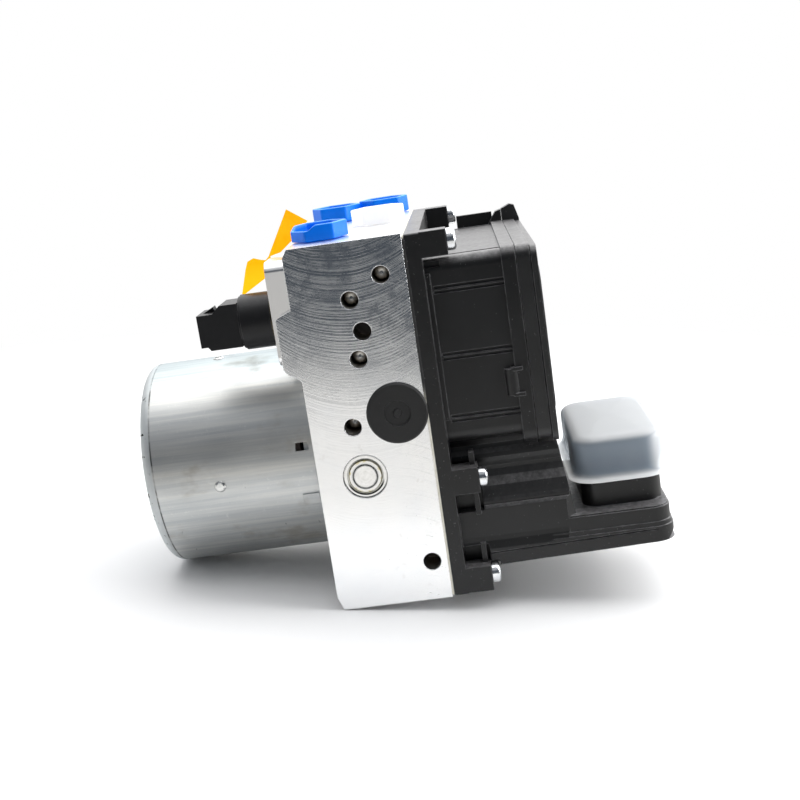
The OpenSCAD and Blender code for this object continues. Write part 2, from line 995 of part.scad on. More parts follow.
module shelf() {
    edge_in = ledge_in + 0.6;
    bevel = 3;
    difference() {
        union() {
            translate([0, 0, shelf_z0 - under_rise])
                linear_extrude(ledge_z - 0.7 - shelf_z0 + under_rise)
                    round_rect([rim_x0, shelf_y0], [shelf_x1, shelf_y1], shelf_round);
            translate([0, 0, shelf_z0])
                linear_extrude(ledge_z + 1 - shelf_z0)
                    round_rect([rim_x0, shelf_y0 + 0.4], [shelf_x1 - 0.4, shelf_y1 - 0.4], shelf_round);
            translate([0, 0, shelf_z0])
                linear_extrude(shelf_z1 - shelf_z0 - 0.6)
                    round_rect([rim_x0, shelf_y0 + ledge_in],
                        [shelf_x1 - ledge_in, shelf_y1 - ledge_in], shelf_round);
            translate([0, 0, shelf_z1 - 1])
                linear_extrude(1)
                    round_rect([rim_x0, shelf_y0 + edge_in], [shelf_x1 - edge_in, shelf_y1 - edge_in],
                        shelf_round - 0.6);
        }
        // Chamfer under the shelf's outer edge
        along_y(shelf_y0 - 1, shelf_y1 + 1)
            polygon([
                [shelf_x1 - bevel, shelf_z0 - EPS],
                [shelf_x1 + 1, shelf_z0 + 1.1 * (bevel + 1)],
                [shelf_x1 + 1, shelf_z0 - EPS]
            ]);
    }
}

module shroud() {
    translate([conn_x, conn_y, shelf_z1 - EPS])
        linear_extrude(conn_h + EPS)
            round_rect([-conn_w / 2, -conn_l / 2], [conn_w / 2, conn_l / 2], conn_round);
}

module shroud_hollow() {
    translate([conn_x, conn_y, conn_floor])
        linear_extrude(conn_h)
            round_rect([-conn_w / 2 + conn_wall, -conn_l / 2 + conn_wall],
                [conn_w / 2 - conn_wall, conn_l / 2 - conn_wall], conn_round - conn_wall);
}

// Towers carry the screws, with a web above and below that ties each to the housing
module towers() {
    for (side = SIDES, t = TOWERS) {
        y0 = side > 0 ? side_y - tower_w : -side_y;
        box([flange_x1 - EPS, y0, t[0]], [flange_x1 + tower_len, y0 + tower_w, t[1]]);
    }
}

// Hollows between the flange and the stepped side, around the middle and the lower towers
module tower_pockets() {
    x1 = flange_x1 + tower_len + 0.4;
    for (side = SIDES) {
        y0 = side > 0 ? side_y - tower_w - 1.2 : -side_y - 5;
        y1 = side > 0 ? side_y + 5 : -side_y + tower_w + 1.2;
        box([flange_x1, y0, 30], [x1, y1, 52]);
        box([flange_x1, y0, 0], [x1, y1, 17]);
        // Shallow recess under the upper tower
        box([flange_x1, side > 0 ? box_y - 1.6 : -side_y, TOWERS[0][0] - 4.2],
            [flange_x1 + 5.6, side > 0 ? side_y : -box_y + 1.6, TOWERS[0][0]]);
    }
}

module tower_webs() {
    web_t = 2;
    web_x = flange_x1 + 6.6;
    for (side = SIDES) {
        y0 = side > 0 ? side_y - tower_w - 1.2 : -side_y + 4.6;
        y1 = side > 0 ? side_y - 4.6 : -side_y + tower_w + 1.2;
        box([web_x, y0, 29], [web_x + web_t, y1, 53]);
        box([web_x, y0, 4], [web_x + web_t, y1, 18]);
    }
}

module groove_cuts() {
    groove_h = 1.1;
    groove_d = 0.8;
    for (side = SIDES) {
        y0 = side > 0 ? box_y - groove_d : -box_y - 1;
        y1 = side > 0 ? box_y + 1 : -box_y + groove_d;
        for (z = [65, 88, box_z1 - 12.6], dz = [0, 1.7])
            box([flange_x1 + 2.4, y0, z + dz], [rim_x0, y1, z + dz + groove_h]);
        // Groove that sets the round bead apart from the flat top
        bead_y = side * (box_y - 8);
        box([flange_x1, bead_y - 1.2, box_z1 - 1.6], [rim_x0, bead_y + 1.2, box_z1 + 1]);
    }
    // Parting line above the bottom plate, which rises with it towards the shelf's end
    part_z = shelf_z0 + 4.8;
    along_y(shelf_y0 - 1, shelf_y0 + 0.5)
        polygon([
            [flange_x1 + tower_len, part_z - under_rise],
            [shelf_x1 - shelf_round, part_z - 0.3],
            [shelf_x1 - shelf_round, part_z + 0.2],
            [flange_x1 + tower_len, part_z - under_rise + 0.5]
        ]);
}

module ecu_housing() {
    rib_h = 5.2;
    color(BLACK)
        difference() {
            union() {
                difference() {
                    union() {
                        along_x(flange_x1 - EPS, rim_x0 + EPS)
                            round_rect([-box_y, box_z0], [box_y, box_z1], box_round);
                        difference() {
                            union() {
                                lower_body();
                                shelf();
                            }
                            // The underside rises towards the shelf's end
                            along_y(-side_y, side_y)
                                polygon([
                                    [flange_x1 - 1, shelf_z0 - under_rise],
                                    [shelf_x1 + 1, shelf_z0],
                                    [shelf_x1 + 1, -1],
                                    [flange_x1 - 1, -1]
                                ]);
                        }
                    }
                    tower_pockets();
                }
                along_x(flange_x0, flange_x1)
                    round_rect([-side_y, flange_bottom], [side_y, flange_top], 1);
                along_x(rim_x0, rim_x1)
                    round_rect([-box_y - rim_proud, box_z0 - 3.2],
                        [box_y + rim_proud, box_z1 + 1], box_round + 0.5);
                towers();
                tower_webs();
                shroud();
                // Rib along the far edge of the top, and its corner upstand
                box([flange_x1 + tower_len + head_h + gap, box_y - 3, box_z1 - 2],
                    [rim_x0 + 1, box_y - 0.6, box_z1 + rib_h]);
                along_y(box_y - 6, box_y - 0.6)
                    polygon([
                        [rim_x0 - 1, box_z1],
                        [rim_x0 + 2.6, box_z1 + rib_h],
                        [rim_x1, box_z1 + rib_h + 0.6],
                        [rim_x1, box_z1]
                    ]);
                // Half-round snap hook on the rim's near edge, between two arms
                translate([rim_x0 - 1.6, -box_y, 72.4])
                    cylinder(r = 2.4, h = 9.8);
                for (z = [72, 81.4])
                    box([rim_x0 - 1.6, -box_y - 2.4, z], [rim_x0 + 2.6, -box_y + 1, z + 1.2]);
                // Raised border along the flange
                for (side = SIDES)
                    box([flange_x1 - EPS, side > 0 ? box_y - 1 : -box_y - 0.5, box_z0 + 9],
                        [flange_x1 + 1.8, side > 0 ? box_y + 0.5 : -box_y + 1, box_z1 - 5]);
            }
            along_x(flange_x0 - 1, rim_x1 + 1)
                round_rect([-cavity_y, box_z0 + mould_wall], [cavity_y, box_z1 - mould_wall], 3);
            along_x(flange_x0 - 1, rim_x0)
                round_rect([-lower_cavity_y, 14], [lower_cavity_y, box_z0 + 6], 3);
            shroud_hollow();
            groove_cuts();
            screw_holes(screw_r + gap, flange_x0 - 1, flange_x1 + tower_len + 1);
            // Room for the screws' heads
            screw_holes(head_r + 0.5, flange_x1 + tower_len, flange_x1 + tower_len + head_h + gap);
            connector_pin_set(0.05);
        }
    color(BLACK)
        board_ledges();
}

// Ledges on the side walls that the circuit board lies on
module board_ledges() {
    for (side = SIDES, z = [box_z0 + 8, box_z1 - 16])
        box([board_x - 6, side > 0 ? board_y - 2 : -cavity_y - EPS, z],
            [board_x - 0.1, side > 0 ? cavity_y + EPS : -board_y + 2, z + 8]);
}

module connector_pin_set(slack) {
    w = pin_w / 2 + slack;
    l = pin_l / 2 + slack;
    for (row = PIN_ROWS, i = [0:pin_count - 1]) {
        y = conn_y - conn_l / 2 + 7 + i * pin_pitch;
        box([conn_x + row - w, y - l, conn_floor - pin_root], [conn_x + row + w, y + l, pin_top]);
    }
}

module connector_pins() {
    color([0.8, 0.72, 0.5])
        connector_pin_set(0);
}

module ecu_lid() {
    lip = 0.5;
    color([0.14, 0.14, 0.15])
        difference() {
            union() {
                along_x(rim_x1 + 0.2, lid_x1 - 2.5)
                    round_rect([-box_y - 1, box_z0 - 2.8], [box_y + 1, box_z1 + 0.8], box_round);
                along_x(lid_x1 - 2.6, lid_x1 - 2.2)
                    round_rect([-box_y + lip, box_z0 - 2], [box_y - lip, box_z1], box_round);
                along_x(lid_x1 - 2.2, lid_x1)
                    round_rect([-box_y - 1.2, box_z0 - 4], [box_y + 1.2, box_z1], box_round);
                along_x(lid_x1 - EPS, lid_x1 + 0.8)
                    round_rect([-box_y + 8, box_z0 + 6], [box_y - 8, box_z1 - 9], 6);
                for (y = [-32:16:32])
                    box([lid_x1, y - 0.8, box_z0 + 14], [lid_x1 + 1.4, y + 0.8, box_z1 - 17]);
                along_y(box_y - 6, box_y - 0.6)
                    polygon([[rim_x1 + 0.2, box_z1], [rim_x1 + 0.2, box_z1 + 6], [rim_x1 + 4, box_z1 + 7.6],
                        [rim_x1 + 6, box_z1 + 7], [lid_x1, box_z1 + 1], [lid_x1, box_z1 - 2]]);
            }
            along_x(rim_x1, lid_x1 - 2)
                round_rect([-cavity_y, box_z0 + mould_wall], [cavity_y, box_z1 - mould_wall], 3);
        }
}

module ecu_screws() {
    x = flange_x1 + tower_len;
    color([0.82, 0.83, 0.85])
        for (side = SIDES, z = SCREW_Z)
            translate([x, side * screw_y, z])
                rotate([0, 90, 0])
                    difference() {
                        union() {
                            rotate_extrude()
                                polygon(concat(
                                    [[0, 0], [head_r - 0.2, 0], [head_r, 0.2]],
                                    arc(head_r - 1.3, head_h - 1.3, 1.3, 0, 90, 5),
                                    [[0, head_h]]
                                ));
                            translate([0, 0, face_x - screw_in - x])
                                cylinder(r = screw_r - run_fit, h = x - face_x + screw_in);
                        }
                        translate([0, 0, head_h - 1.8])
                            cylinder(r = 1.9, h = 3, $fn = 6);
                    }
}

module circuit_board() {
    color([0.1, 0.3, 0.16])
        difference() {
            along_x(board_x, board_x + board_t)
                round_rect([-board_y, box_z0 + 3], [board_y, box_z1 - 7], 2);
            along_x(board_x - 1, board_x + board_t + 1)
                for (s = SIDES)
                    translate([s * (board_y - 5), box_z0 + 12])
                        circle(1.6);
        }
}

module board_components() {
    x = board_x + board_t + 0.02;
    mid = (box_z0 + box_z1) / 2;
    color([0.08, 0.08, 0.09]) {
        box([x, -14, mid - 14], [x + 2, 14, mid + 14]);
        for (y = [-38, -26, 26, 38])
            box([x, y - 4, mid - 6], [x + 1.6, y + 4, mid + 6]);
        for (y = [-30, 30])
            translate([x, y, mid + 16])
                rotate([0, 90, 0])
                    cylinder(r = 4, h = 5);
    }
}

// Dust cap with a flared mouth that slips over the shroud
module cap_shell(grow, top) {
    w = conn_w / 2 + gap + grow;
    l = conn_l / 2 + gap + grow;
    r = conn_round + gap + grow;
    linear_extrude(top - cap_rim_z)
        round_rect([-w, -l], [w, l], r);
    hull() {
        linear_extrude(0.1, $fn = 32)
            round_rect([-w - cap_flare, -l - cap_flare], [w + cap_flare, l + cap_flare], r + cap_flare);
        translate([0, 0, cap_flare_h])
            linear_extrude(0.1, $fn = 32)
                round_rect([-w, -l], [w, l], r);
    }
}

module connector_cap() {
    color([0.85, 0.87, 0.88, 0.5])
        translate([conn_x, conn_y, cap_rim_z])
            difference() {
                cap_shell(cap_wall, cap_top);
                translate([0, 0, -EPS])
                    cap_shell(0, cap_top - cap_wall);
            }
}

// Port plug: a six-sided cup over a round spigot, with its rim lower on one side behind a sloped step
module port_plug(turn) {
    r = plug_d / 2;
    floor_h = 2.6;
    low = plug_h - 3;
    translate([0, 0, gap])
        rotate([0, 0, turn])
            difference() {
                cylinder(r = r, h = plug_h, $fn = 6);
                translate([0, 0, floor_h])
                    cylinder(r = r - plug_wall, h = plug_h, $fn = 6);
                rotate([90, 0, 30])
                    translate([0, 0, -r])
                        linear_extrude(2 * r)
                            polygon([
                                [-r - 1, low],
                                [-5.5, low],
                                [-1.8, plug_h + EPS],
                                [-r - 1, plug_h + EPS]
                            ]);
                // Notch in the rim's far side
                rotate([0, 0, 90])
                    translate([r * cos(30) - plug_wall - 1, -2, plug_h - 1.8])
                        cube([plug_wall + 2, 4, 3]);
            }
    translate([0, 0, -port_sink + 0.2])
        cylinder(r = port_sink_r - 0.2, h = port_sink + gap);
}

module port_plug_at(i, tint) {
    color(tint)
        on_top(TOP_PORTS[i])
            port_plug(PLUG_TURNS[i]);
}

module inlet_plug_at(i) {
    color(BLUE)
        on_pad(INLET_PORTS[i])
            port_plug(90);
}

// Pressure sensor: threaded stem and collar, then a drum with a flat-sided plug socket

module sensor_frame() {
    translate([boss_x, sensor_y, sensor_z])
        rotate([0, -90, 0])
            children();
}

module sensor_base() {
    color([0.78, 0.7, 0.5])
        sensor_frame() {
            translate([0, 0, -sensor_stem_l])
                cylinder(r = sensor_stem_r - run_fit, h = sensor_stem_l);
            cylinder(r = collar_r, h = collar_t);
        }
}

module sensor_housing() {
    neck_w = socket_w + 4;
    color(BLACK)
        sensor_frame()
            difference() {
                union() {
                    translate([0, 0, collar_t]) {
                        cylinder(r = sensor_r - 0.6, h = drum_l);
                        cylinder(r = sensor_r, h = drum_l - 0.8);
                    }
                    // Neck with sloped upper corner; local X points up
                    translate([0, neck_w / 2, collar_t + drum_l - EPS])
                        rotate([90, 0, 0])
                            linear_extrude(neck_w)
                                polygon([
                                    [-8, 0],
                                    [8.4, 0],
                                    [8.4, 6.5],
                                    [5.6, 9.5],
                                    [5.6, neck_l + 2.6],
                                    [-6.6, neck_l + 2.6],
                                    [-6.6, neck_l],
                                    [-8, neck_l - 1]
                                ]);
                    // Latch wedge
                    translate([0, 2.5, collar_t + drum_l + neck_l - 4])
                        rotate([90, 0, 0])
                            linear_extrude(5)
                                polygon([[5, 0], [7.6, 1], [5.6, 5], [5, 5]]);
                }
                translate([-5, -socket_w / 2, collar_t + drum_l + neck_l + 2.6 - socket_depth])
                    cube([socket_h, socket_w, socket_depth + 1]);
            }
}

module sensor_pins() {
    floor_z = collar_t + drum_l + neck_l + 2.6 - socket_depth;
    color([0.8, 0.72, 0.5])
        sensor_frame()
            for (y = [-4, 0, 4])
                translate([-0.9, y - 0.4, floor_z + 0.02])
                    cube([0.8, 0.8, 4]);
}

// Thin plastic tag that lies between the sensor and the block's edge
module hang_tag() {
    tag_y = -27.9;
    tag_t = 0.4;
    top = block_h;
    color(YELLOW)
        along_y(tag_y - tag_t / 2, tag_y + tag_t / 2)
            polygon([
                [-face_x - 22.6, top - 18.1],
                [-face_x - 19.4, top - 8],
                [-face_x - 18.2, top - 5.2],
                [-face_x - 15.8, top - 4.2],
                [-face_x - 13, top - 5.2],
                [-face_x - 11.2, top - 5.6],
                [-face_x - 9.9, top - 4.4],
                [-face_x - 0.4, top + 12.2],
                [-face_x + 7, top + 6.8],
                [-face_x, top + 0.4],
                [-face_x - 5, top - 3.4],
                [-face_x - 9.2, top - 4.4],
                [-face_x - 9.4, top - 10.6]
            ]);
}

hydraulic_block();
passage_balls();
motor_can();
can_rivets();
motor_magnets();
end_shield();
rear_bearing();
front_bearing();
rotor_shaft();
armature_core();
armature_windings();
commutator();
brush_holder();
carbon_brushes();
eccentric_bearing();
shaft_end_bearing();
motor_feed();
pump_piston(NEAR);  // pump_piston_near
pump_piston(FAR);  // pump_piston_far
pump_spring(NEAR);  // pump_spring_near
pump_spring(FAR);  // pump_spring_far
pump_plug(NEAR);  // pump_plug_near
pump_plug(FAR);  // pump_plug_far
accumulator_piston(NEAR);  // accumulator_piston_near
accumulator_piston(FAR);  // accumulator_piston_far
accumulator_spring(NEAR);  // accumulator_spring_near
accumulator_spring(FAR);  // accumulator_spring_far
accumulator_cap(NEAR);  // accumulator_cap_near
accumulator_cap(FAR);  // accumulator_cap_far
housing_gasket();
ecu_housing();
ecu_lid();
ecu_screws();
circuit_board();
board_components();
connector_pins();
connector_cap();
solenoid_coils();
inlet_valves();
outlet_valves();
valve_springs();
valve_plunger(1);  // valve_plunger_1
valve_plunger(2);  // valve_plunger_2
valve_plunger(3);  // valve_plunger_3
valve_plunger(4);  // valve_plunger_4
valve_plunger(5);  // valve_plunger_5
valve_plunger(6);  // valve_plunger_6
valve_plunger(7);  // valve_plunger_7
valve_plunger(8);  // valve_plunger_8
port_plug_at(0, BLUE);  // port_plug_1
port_plug_at(1, BLUE);  // port_plug_2
port_plug_at(2, BLUE);  // port_plug_3
port_plug_at(3, [0.92, 0.93, 0.93]);  // port_plug_4
inlet_plug_at(0);  // inlet_plug_1
inlet_plug_at(1);  // inlet_plug_2
sensor_base();
sensor_housing();
sensor_pins();
hang_tag();
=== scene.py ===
import bpy
import bmesh
import json
import math
from mathutils import Matrix, Vector

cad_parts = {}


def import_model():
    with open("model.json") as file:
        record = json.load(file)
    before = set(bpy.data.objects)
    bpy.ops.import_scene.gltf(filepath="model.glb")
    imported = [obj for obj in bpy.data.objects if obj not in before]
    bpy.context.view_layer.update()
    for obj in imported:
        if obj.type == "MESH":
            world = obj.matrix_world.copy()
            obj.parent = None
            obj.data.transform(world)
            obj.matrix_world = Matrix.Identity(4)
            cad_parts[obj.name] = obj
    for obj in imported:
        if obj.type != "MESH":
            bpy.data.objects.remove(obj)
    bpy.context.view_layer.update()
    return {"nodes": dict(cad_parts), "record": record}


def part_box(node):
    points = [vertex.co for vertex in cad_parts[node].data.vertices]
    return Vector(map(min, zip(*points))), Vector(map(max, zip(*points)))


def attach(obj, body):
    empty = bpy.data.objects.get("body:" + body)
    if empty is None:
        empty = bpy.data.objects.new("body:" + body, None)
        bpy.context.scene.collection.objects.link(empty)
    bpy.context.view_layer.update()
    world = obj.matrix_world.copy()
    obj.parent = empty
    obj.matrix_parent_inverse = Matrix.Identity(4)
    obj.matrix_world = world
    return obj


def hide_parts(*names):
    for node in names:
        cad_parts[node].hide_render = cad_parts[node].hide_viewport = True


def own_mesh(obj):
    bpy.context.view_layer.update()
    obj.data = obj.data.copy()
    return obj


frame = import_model()

nodes = frame["nodes"]
MM = 0.001


def middle(node):
    low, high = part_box(node)
    return (low + high) / 2


# The unit's main faces and axes in metres, from the CAD model

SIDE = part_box("hydraulic_block")[1].y
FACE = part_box("hydraulic_block")[1].x
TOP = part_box("hydraulic_block")[1].z
PUMP_X = middle("pump_plug_near").x
AXIS_Z = middle("pump_plug_near").z
CAN_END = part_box("motor_can")[0].x
CAN_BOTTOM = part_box("motor_can")[0].z
CAN_R = AXIS_Z - CAN_BOTTOM
CAP_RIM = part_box("connector_cap")[0].z


# Shader building

class Tree:
    """The node tree of a material or the world, with short calls for the nodes used here."""

    def __init__(self, owner, output="ShaderNodeOutputMaterial"):
        owner.use_nodes = True
        self.owner = owner
        self.nt = owner.node_tree
        self.nt.nodes.clear()
        self.out = self.nt.nodes.new(output)

    def put(self, socket, value):
        if value is None:
            return
        if isinstance(value, bpy.types.NodeSocket):
            self.nt.links.new(value, socket)
        elif isinstance(value, (tuple, list)) and socket.type == "RGBA" and len(value) == 3:
            socket.default_value = (*value, 1.0)
        else:
            socket.default_value = value

    def node(self, kind, out=0, props=None, **inputs):
        """A new node's output. An input is named, with _ for a space, or numbered as i0, i1 and so on."""
        n = self.nt.nodes.new(kind)
        for k, v in (props or {}).items():
            setattr(n, k, v)
        for k, v in inputs.items():
            key = int(k[1:]) if k[0] == "i" and k[1:].isdigit() else k.replace("_", " ")
            self.put(n.inputs[key], v)
        return n.outputs[out]

    def surface(self, shader):
        self.nt.links.new(shader, self.out.inputs["Surface"])
        return self.owner

    def bsdf(self, **inputs):
        """Makes a principled shader the surface, and returns the material."""
        return self.surface(self.node("ShaderNodeBsdfPrincipled", **inputs))

    def blend(self, share, a, b):
        return self.node("ShaderNodeMixShader", i0=share, i1=a, i2=b)

    def coords(self):
        return self.node("ShaderNodeTexCoord", out="Object")

    def scaled(self, vec, scale):
        return self.node("ShaderNodeMapping", Vector=vec, Scale=scale)

    def noise(self, vec, scale, detail=3.0, rough=0.55):
        return self.node("ShaderNodeTexNoise", out="Fac", Vector=vec, Scale=scale, Detail=detail,
                         Roughness=rough)

    def ramp(self, fac, *stops):
        n = self.nt.nodes.new("ShaderNodeValToRGB")
        self.put(n.inputs["Fac"], fac)
        el = n.color_ramp.elements
        while len(el) < len(stops):
            el.new(0.5)
        for e, (pos, col) in zip(el, stops):
            e.position = pos
            e.color = (*col, 1.0)
        return n.outputs["Color"]

    def math(self, operation, *values):
        """Applies the operation to the first two values, then to that result and the next."""
        result = values[0]
        for value in values[1:] or (None,):
            result = self.node("ShaderNodeMath", props={"operation": operation}, i0=result, i1=value)
        return result

    def times(self, *values):
        return self.math("MULTIPLY", *values)

    def plus(self, *values):
        return self.math("ADD", *values)

    def minus(self, a, b):
        return self.math("SUBTRACT", a, b)

    def most(self, *values):
        return self.math("MAXIMUM", *values)

    def size(self, value):
        return self.math("ABSOLUTE", value)

    def root(self, value):
        return self.math("SQRT", value)

    def sine(self, value):
        return self.math("SINE", value)

    def range(self, v, a, b, c=0.0, d=1.0):
        """Goes smoothly from c, where v is a, to d, where v is b."""
        n = self.nt.nodes.new("ShaderNodeMapRange")
        n.clamp = True
        n.interpolation_type = "SMOOTHSTEP"
        for key, val in zip(("Value", "From Min", "From Max", "To Min", "To Max"), (v, a, b, c, d)):
            self.put(n.inputs[key], val)
        return n.outputs["Result"]

    def mix(self, fac, a, b, blend="MIX"):
        return self.node("ShaderNodeMix", out=2, props={"data_type": "RGBA", "blend_type": blend},
                         Factor=fac, i6=a, i7=b)

    def xyz(self, vec):
        n = self.nt.nodes.new("ShaderNodeSeparateXYZ")
        self.put(n.inputs[0], vec)
        return n.outputs[0], n.outputs[1], n.outputs[2]

    def vec(self, x, y, z):
        return self.node("ShaderNodeCombineXYZ", i0=x, i1=y, i2=z)

    def normal(self, kind="True Normal"):
        return self.node("ShaderNodeNewGeometry", out=kind)

    def edge(self, radius):
        return self.node("ShaderNodeBevel", Radius=radius, props={"samples": 6})

    def rim(self, radius):
        """1 along sharp edges and 0 on the faces between them."""
        turn = self.node("ShaderNodeVectorMath", out="Value", props={"operation": "DOT_PRODUCT"},
                         i0=self.edge(radius), i1=self.normal())
        return self.range(turn, 0.995, 0.86)

    def bump(self, height, strength, distance, normal=None):
        return self.node("ShaderNodeBump", Height=height, Strength=strength, Distance=distance, Normal=normal)


def material_tree(name):
    return Tree(bpy.data.materials.new(name))


# Materials

def milled_arcs(t, p, x, z):
    """Arcs that a passing cutter leaves, all of one radius and with their centres in line up the face.
    Returns the arcs, the place along the cutter's path, and a slow unevenness."""
    radius, centre_x = 0.041, 0.001
    off = t.minus(x, centre_x)
    bow = t.root(t.most(t.minus(radius * radius, t.times(off, off)), 0.0))
    down = t.plus(z, bow)
    up = t.minus(z, bow)
    wide = t.noise(t.vec(x, 0.0, down), 60.0, 3.0)
    faint = t.noise(p, 140.0, 4.0, 0.7)

    def lines(place, scale, seed, width):
        wave = t.noise(t.vec(seed, 0.0, place), scale, 2.0, 0.6)
        return t.range(t.size(t.minus(wave, 0.5)), width, 0.0)

    # About one arc a millimetre, in a step that wavers, with finer lines between
    nested = t.sine(t.plus(t.times(down, 5900.0), t.times(wide, 9.0)))
    nested = t.times(t.range(nested, 0.72, 0.98), t.range(wide, 0.32, 0.62, 0.35, 1.0))
    front = t.most(nested, t.times(lines(down, 330.0, 3.1, 0.014), 0.8),
                   t.times(lines(down, 900.0, 7.7, 0.022), 0.5))
    # The cutter's trailing edge crosses them near the bottom and towards the controller
    low = t.times(lines(up, 420.0, 9.1, 0.022), t.range(z, 0.036, 0.022))
    right = t.times(lines(up, 520.0, 5.3, 0.022), t.range(x, 0.000, 0.014))
    arcs = t.times(t.most(front, low), t.range(z, 0.070, 0.095, 0.40, 1.0))
    arcs = t.most(arcs, t.times(right, 0.55))
    return t.times(arcs, t.range(faint, 0.26, 0.56, 0.18, 0.72)), down, wide


def block_metal():
    """Bare aluminium, milled in arcs on its outermost sides, with threads and painted shade in its side
    holes.
    """
    t = material_tree("block_aluminium")
    p = t.coords()
    x, y, z = t.xyz(p)
    _, ny, nz = t.xyz(t.normal())
    across = t.size(y)
    flat = t.range(t.size(ny), 0.9, 0.99)
    side = t.times(flat, t.range(across, SIDE - 1.1 * MM, SIDE - 0.5 * MM))
    inner = t.minus(flat, side)
    other = t.minus(1.0, side)
    boss = t.times(inner, t.range(x, -FACE - 1.15 * MM, -FACE - 1.65 * MM))
    top = t.range(nz, 0.9, 0.99)

    arcs, down, wide = milled_arcs(t, p, x, z)
    grain = t.noise(t.vec(t.times(x, 0.12), 0.0, down), 2300.0, 2.0, 0.7)
    speck = t.times(t.range(t.noise(p, 1100.0, 3.0, 0.7), 0.66, 0.72), t.range(x, -0.012, 0.016, 0.20, 0.8))
    mark = t.times(side, t.most(arcs, speck))

    milled = t.ramp(wide, (0.3, (0.90, 0.91, 0.92)), (0.7, (0.96, 0.96, 0.955)))
    smudge = t.times(t.range(t.noise(p, 150.0, 4.0, 0.7), 0.62, 0.72), 0.22)
    milled = t.mix(smudge, milled, (0.62, 0.60, 0.56))
    plain = t.ramp(t.noise(p, 60.0, 4.0, 0.6), (0.3, (0.86, 0.86, 0.86)), (0.7, (0.94, 0.94, 0.94)))
    stain = t.times(t.range(t.noise(t.scaled(p, (1.0, 0.7, 1.0)), 95.0, 3.0), 0.60, 0.70), top)
    plain = t.mix(t.times(stain, 0.3), plain, (0.55, 0.55, 0.56))
    # Painted light: the sensor boss's side is painted near-white, standing in for the bright paper on its
    # left that it catches
    col = t.mix(side, t.mix(boss, plain, (0.98, 0.98, 0.975)), milled)

    # Painted shade in the side holes: their walls darken to brown inwards, and the faces further in are
    # painted near black
    hole = t.times(t.range(across, SIDE - 0.4 * MM, SIDE - 1.1 * MM), t.range(t.size(ny), 0.5, 0.2),
                   t.range(t.size(x), FACE - 0.35 * MM, FACE - 0.75 * MM),
                   t.range(z, TOP - 0.6 * MM, TOP - 1.0 * MM), t.range(z, 0.6 * MM, 1.0 * MM))
    painted_hole_shade = t.times(hole, t.range(across, SIDE - 1.1 * MM, SIDE - 8.3 * MM))
    col = t.mix(t.times(painted_hole_shade, 0.82), col, (0.16, 0.12, 0.08))
    painted_end_shade = t.times(inner, t.range(across, SIDE - 4.8 * MM, SIDE - 6.3 * MM),
                     t.range(x, -FACE - 0.15 * MM, -FACE + 0.35 * MM))
    col = t.mix(t.times(painted_end_shade, 0.93), col, (0.07, 0.05, 0.035))
    pitch = 1.0 * MM
    thread = t.sine(t.times(y, 2 * math.pi / pitch))

    rough = t.plus(t.times(wide, 0.06), 0.12, t.times(mark, 0.34), t.times(other, 0.16))
    height = t.plus(t.times(t.plus(arcs, t.times(grain, 0.7)), side), t.times(t.noise(p, 1800.0, 2.0), other),
                    t.times(thread, hole, 5.0))
    # The sensor boss's side is shaded as if turned towards the bright paper on its left
    turned = t.vec(-0.72, t.times(ny, 0.69), -0.10)
    n = t.bump(height, 0.20, 0.00004, t.mix(boss, t.edge(0.00045), turned))
    return t.bsdf(Base_Color=col, Metallic=1.0, Roughness=rough, Normal=n)


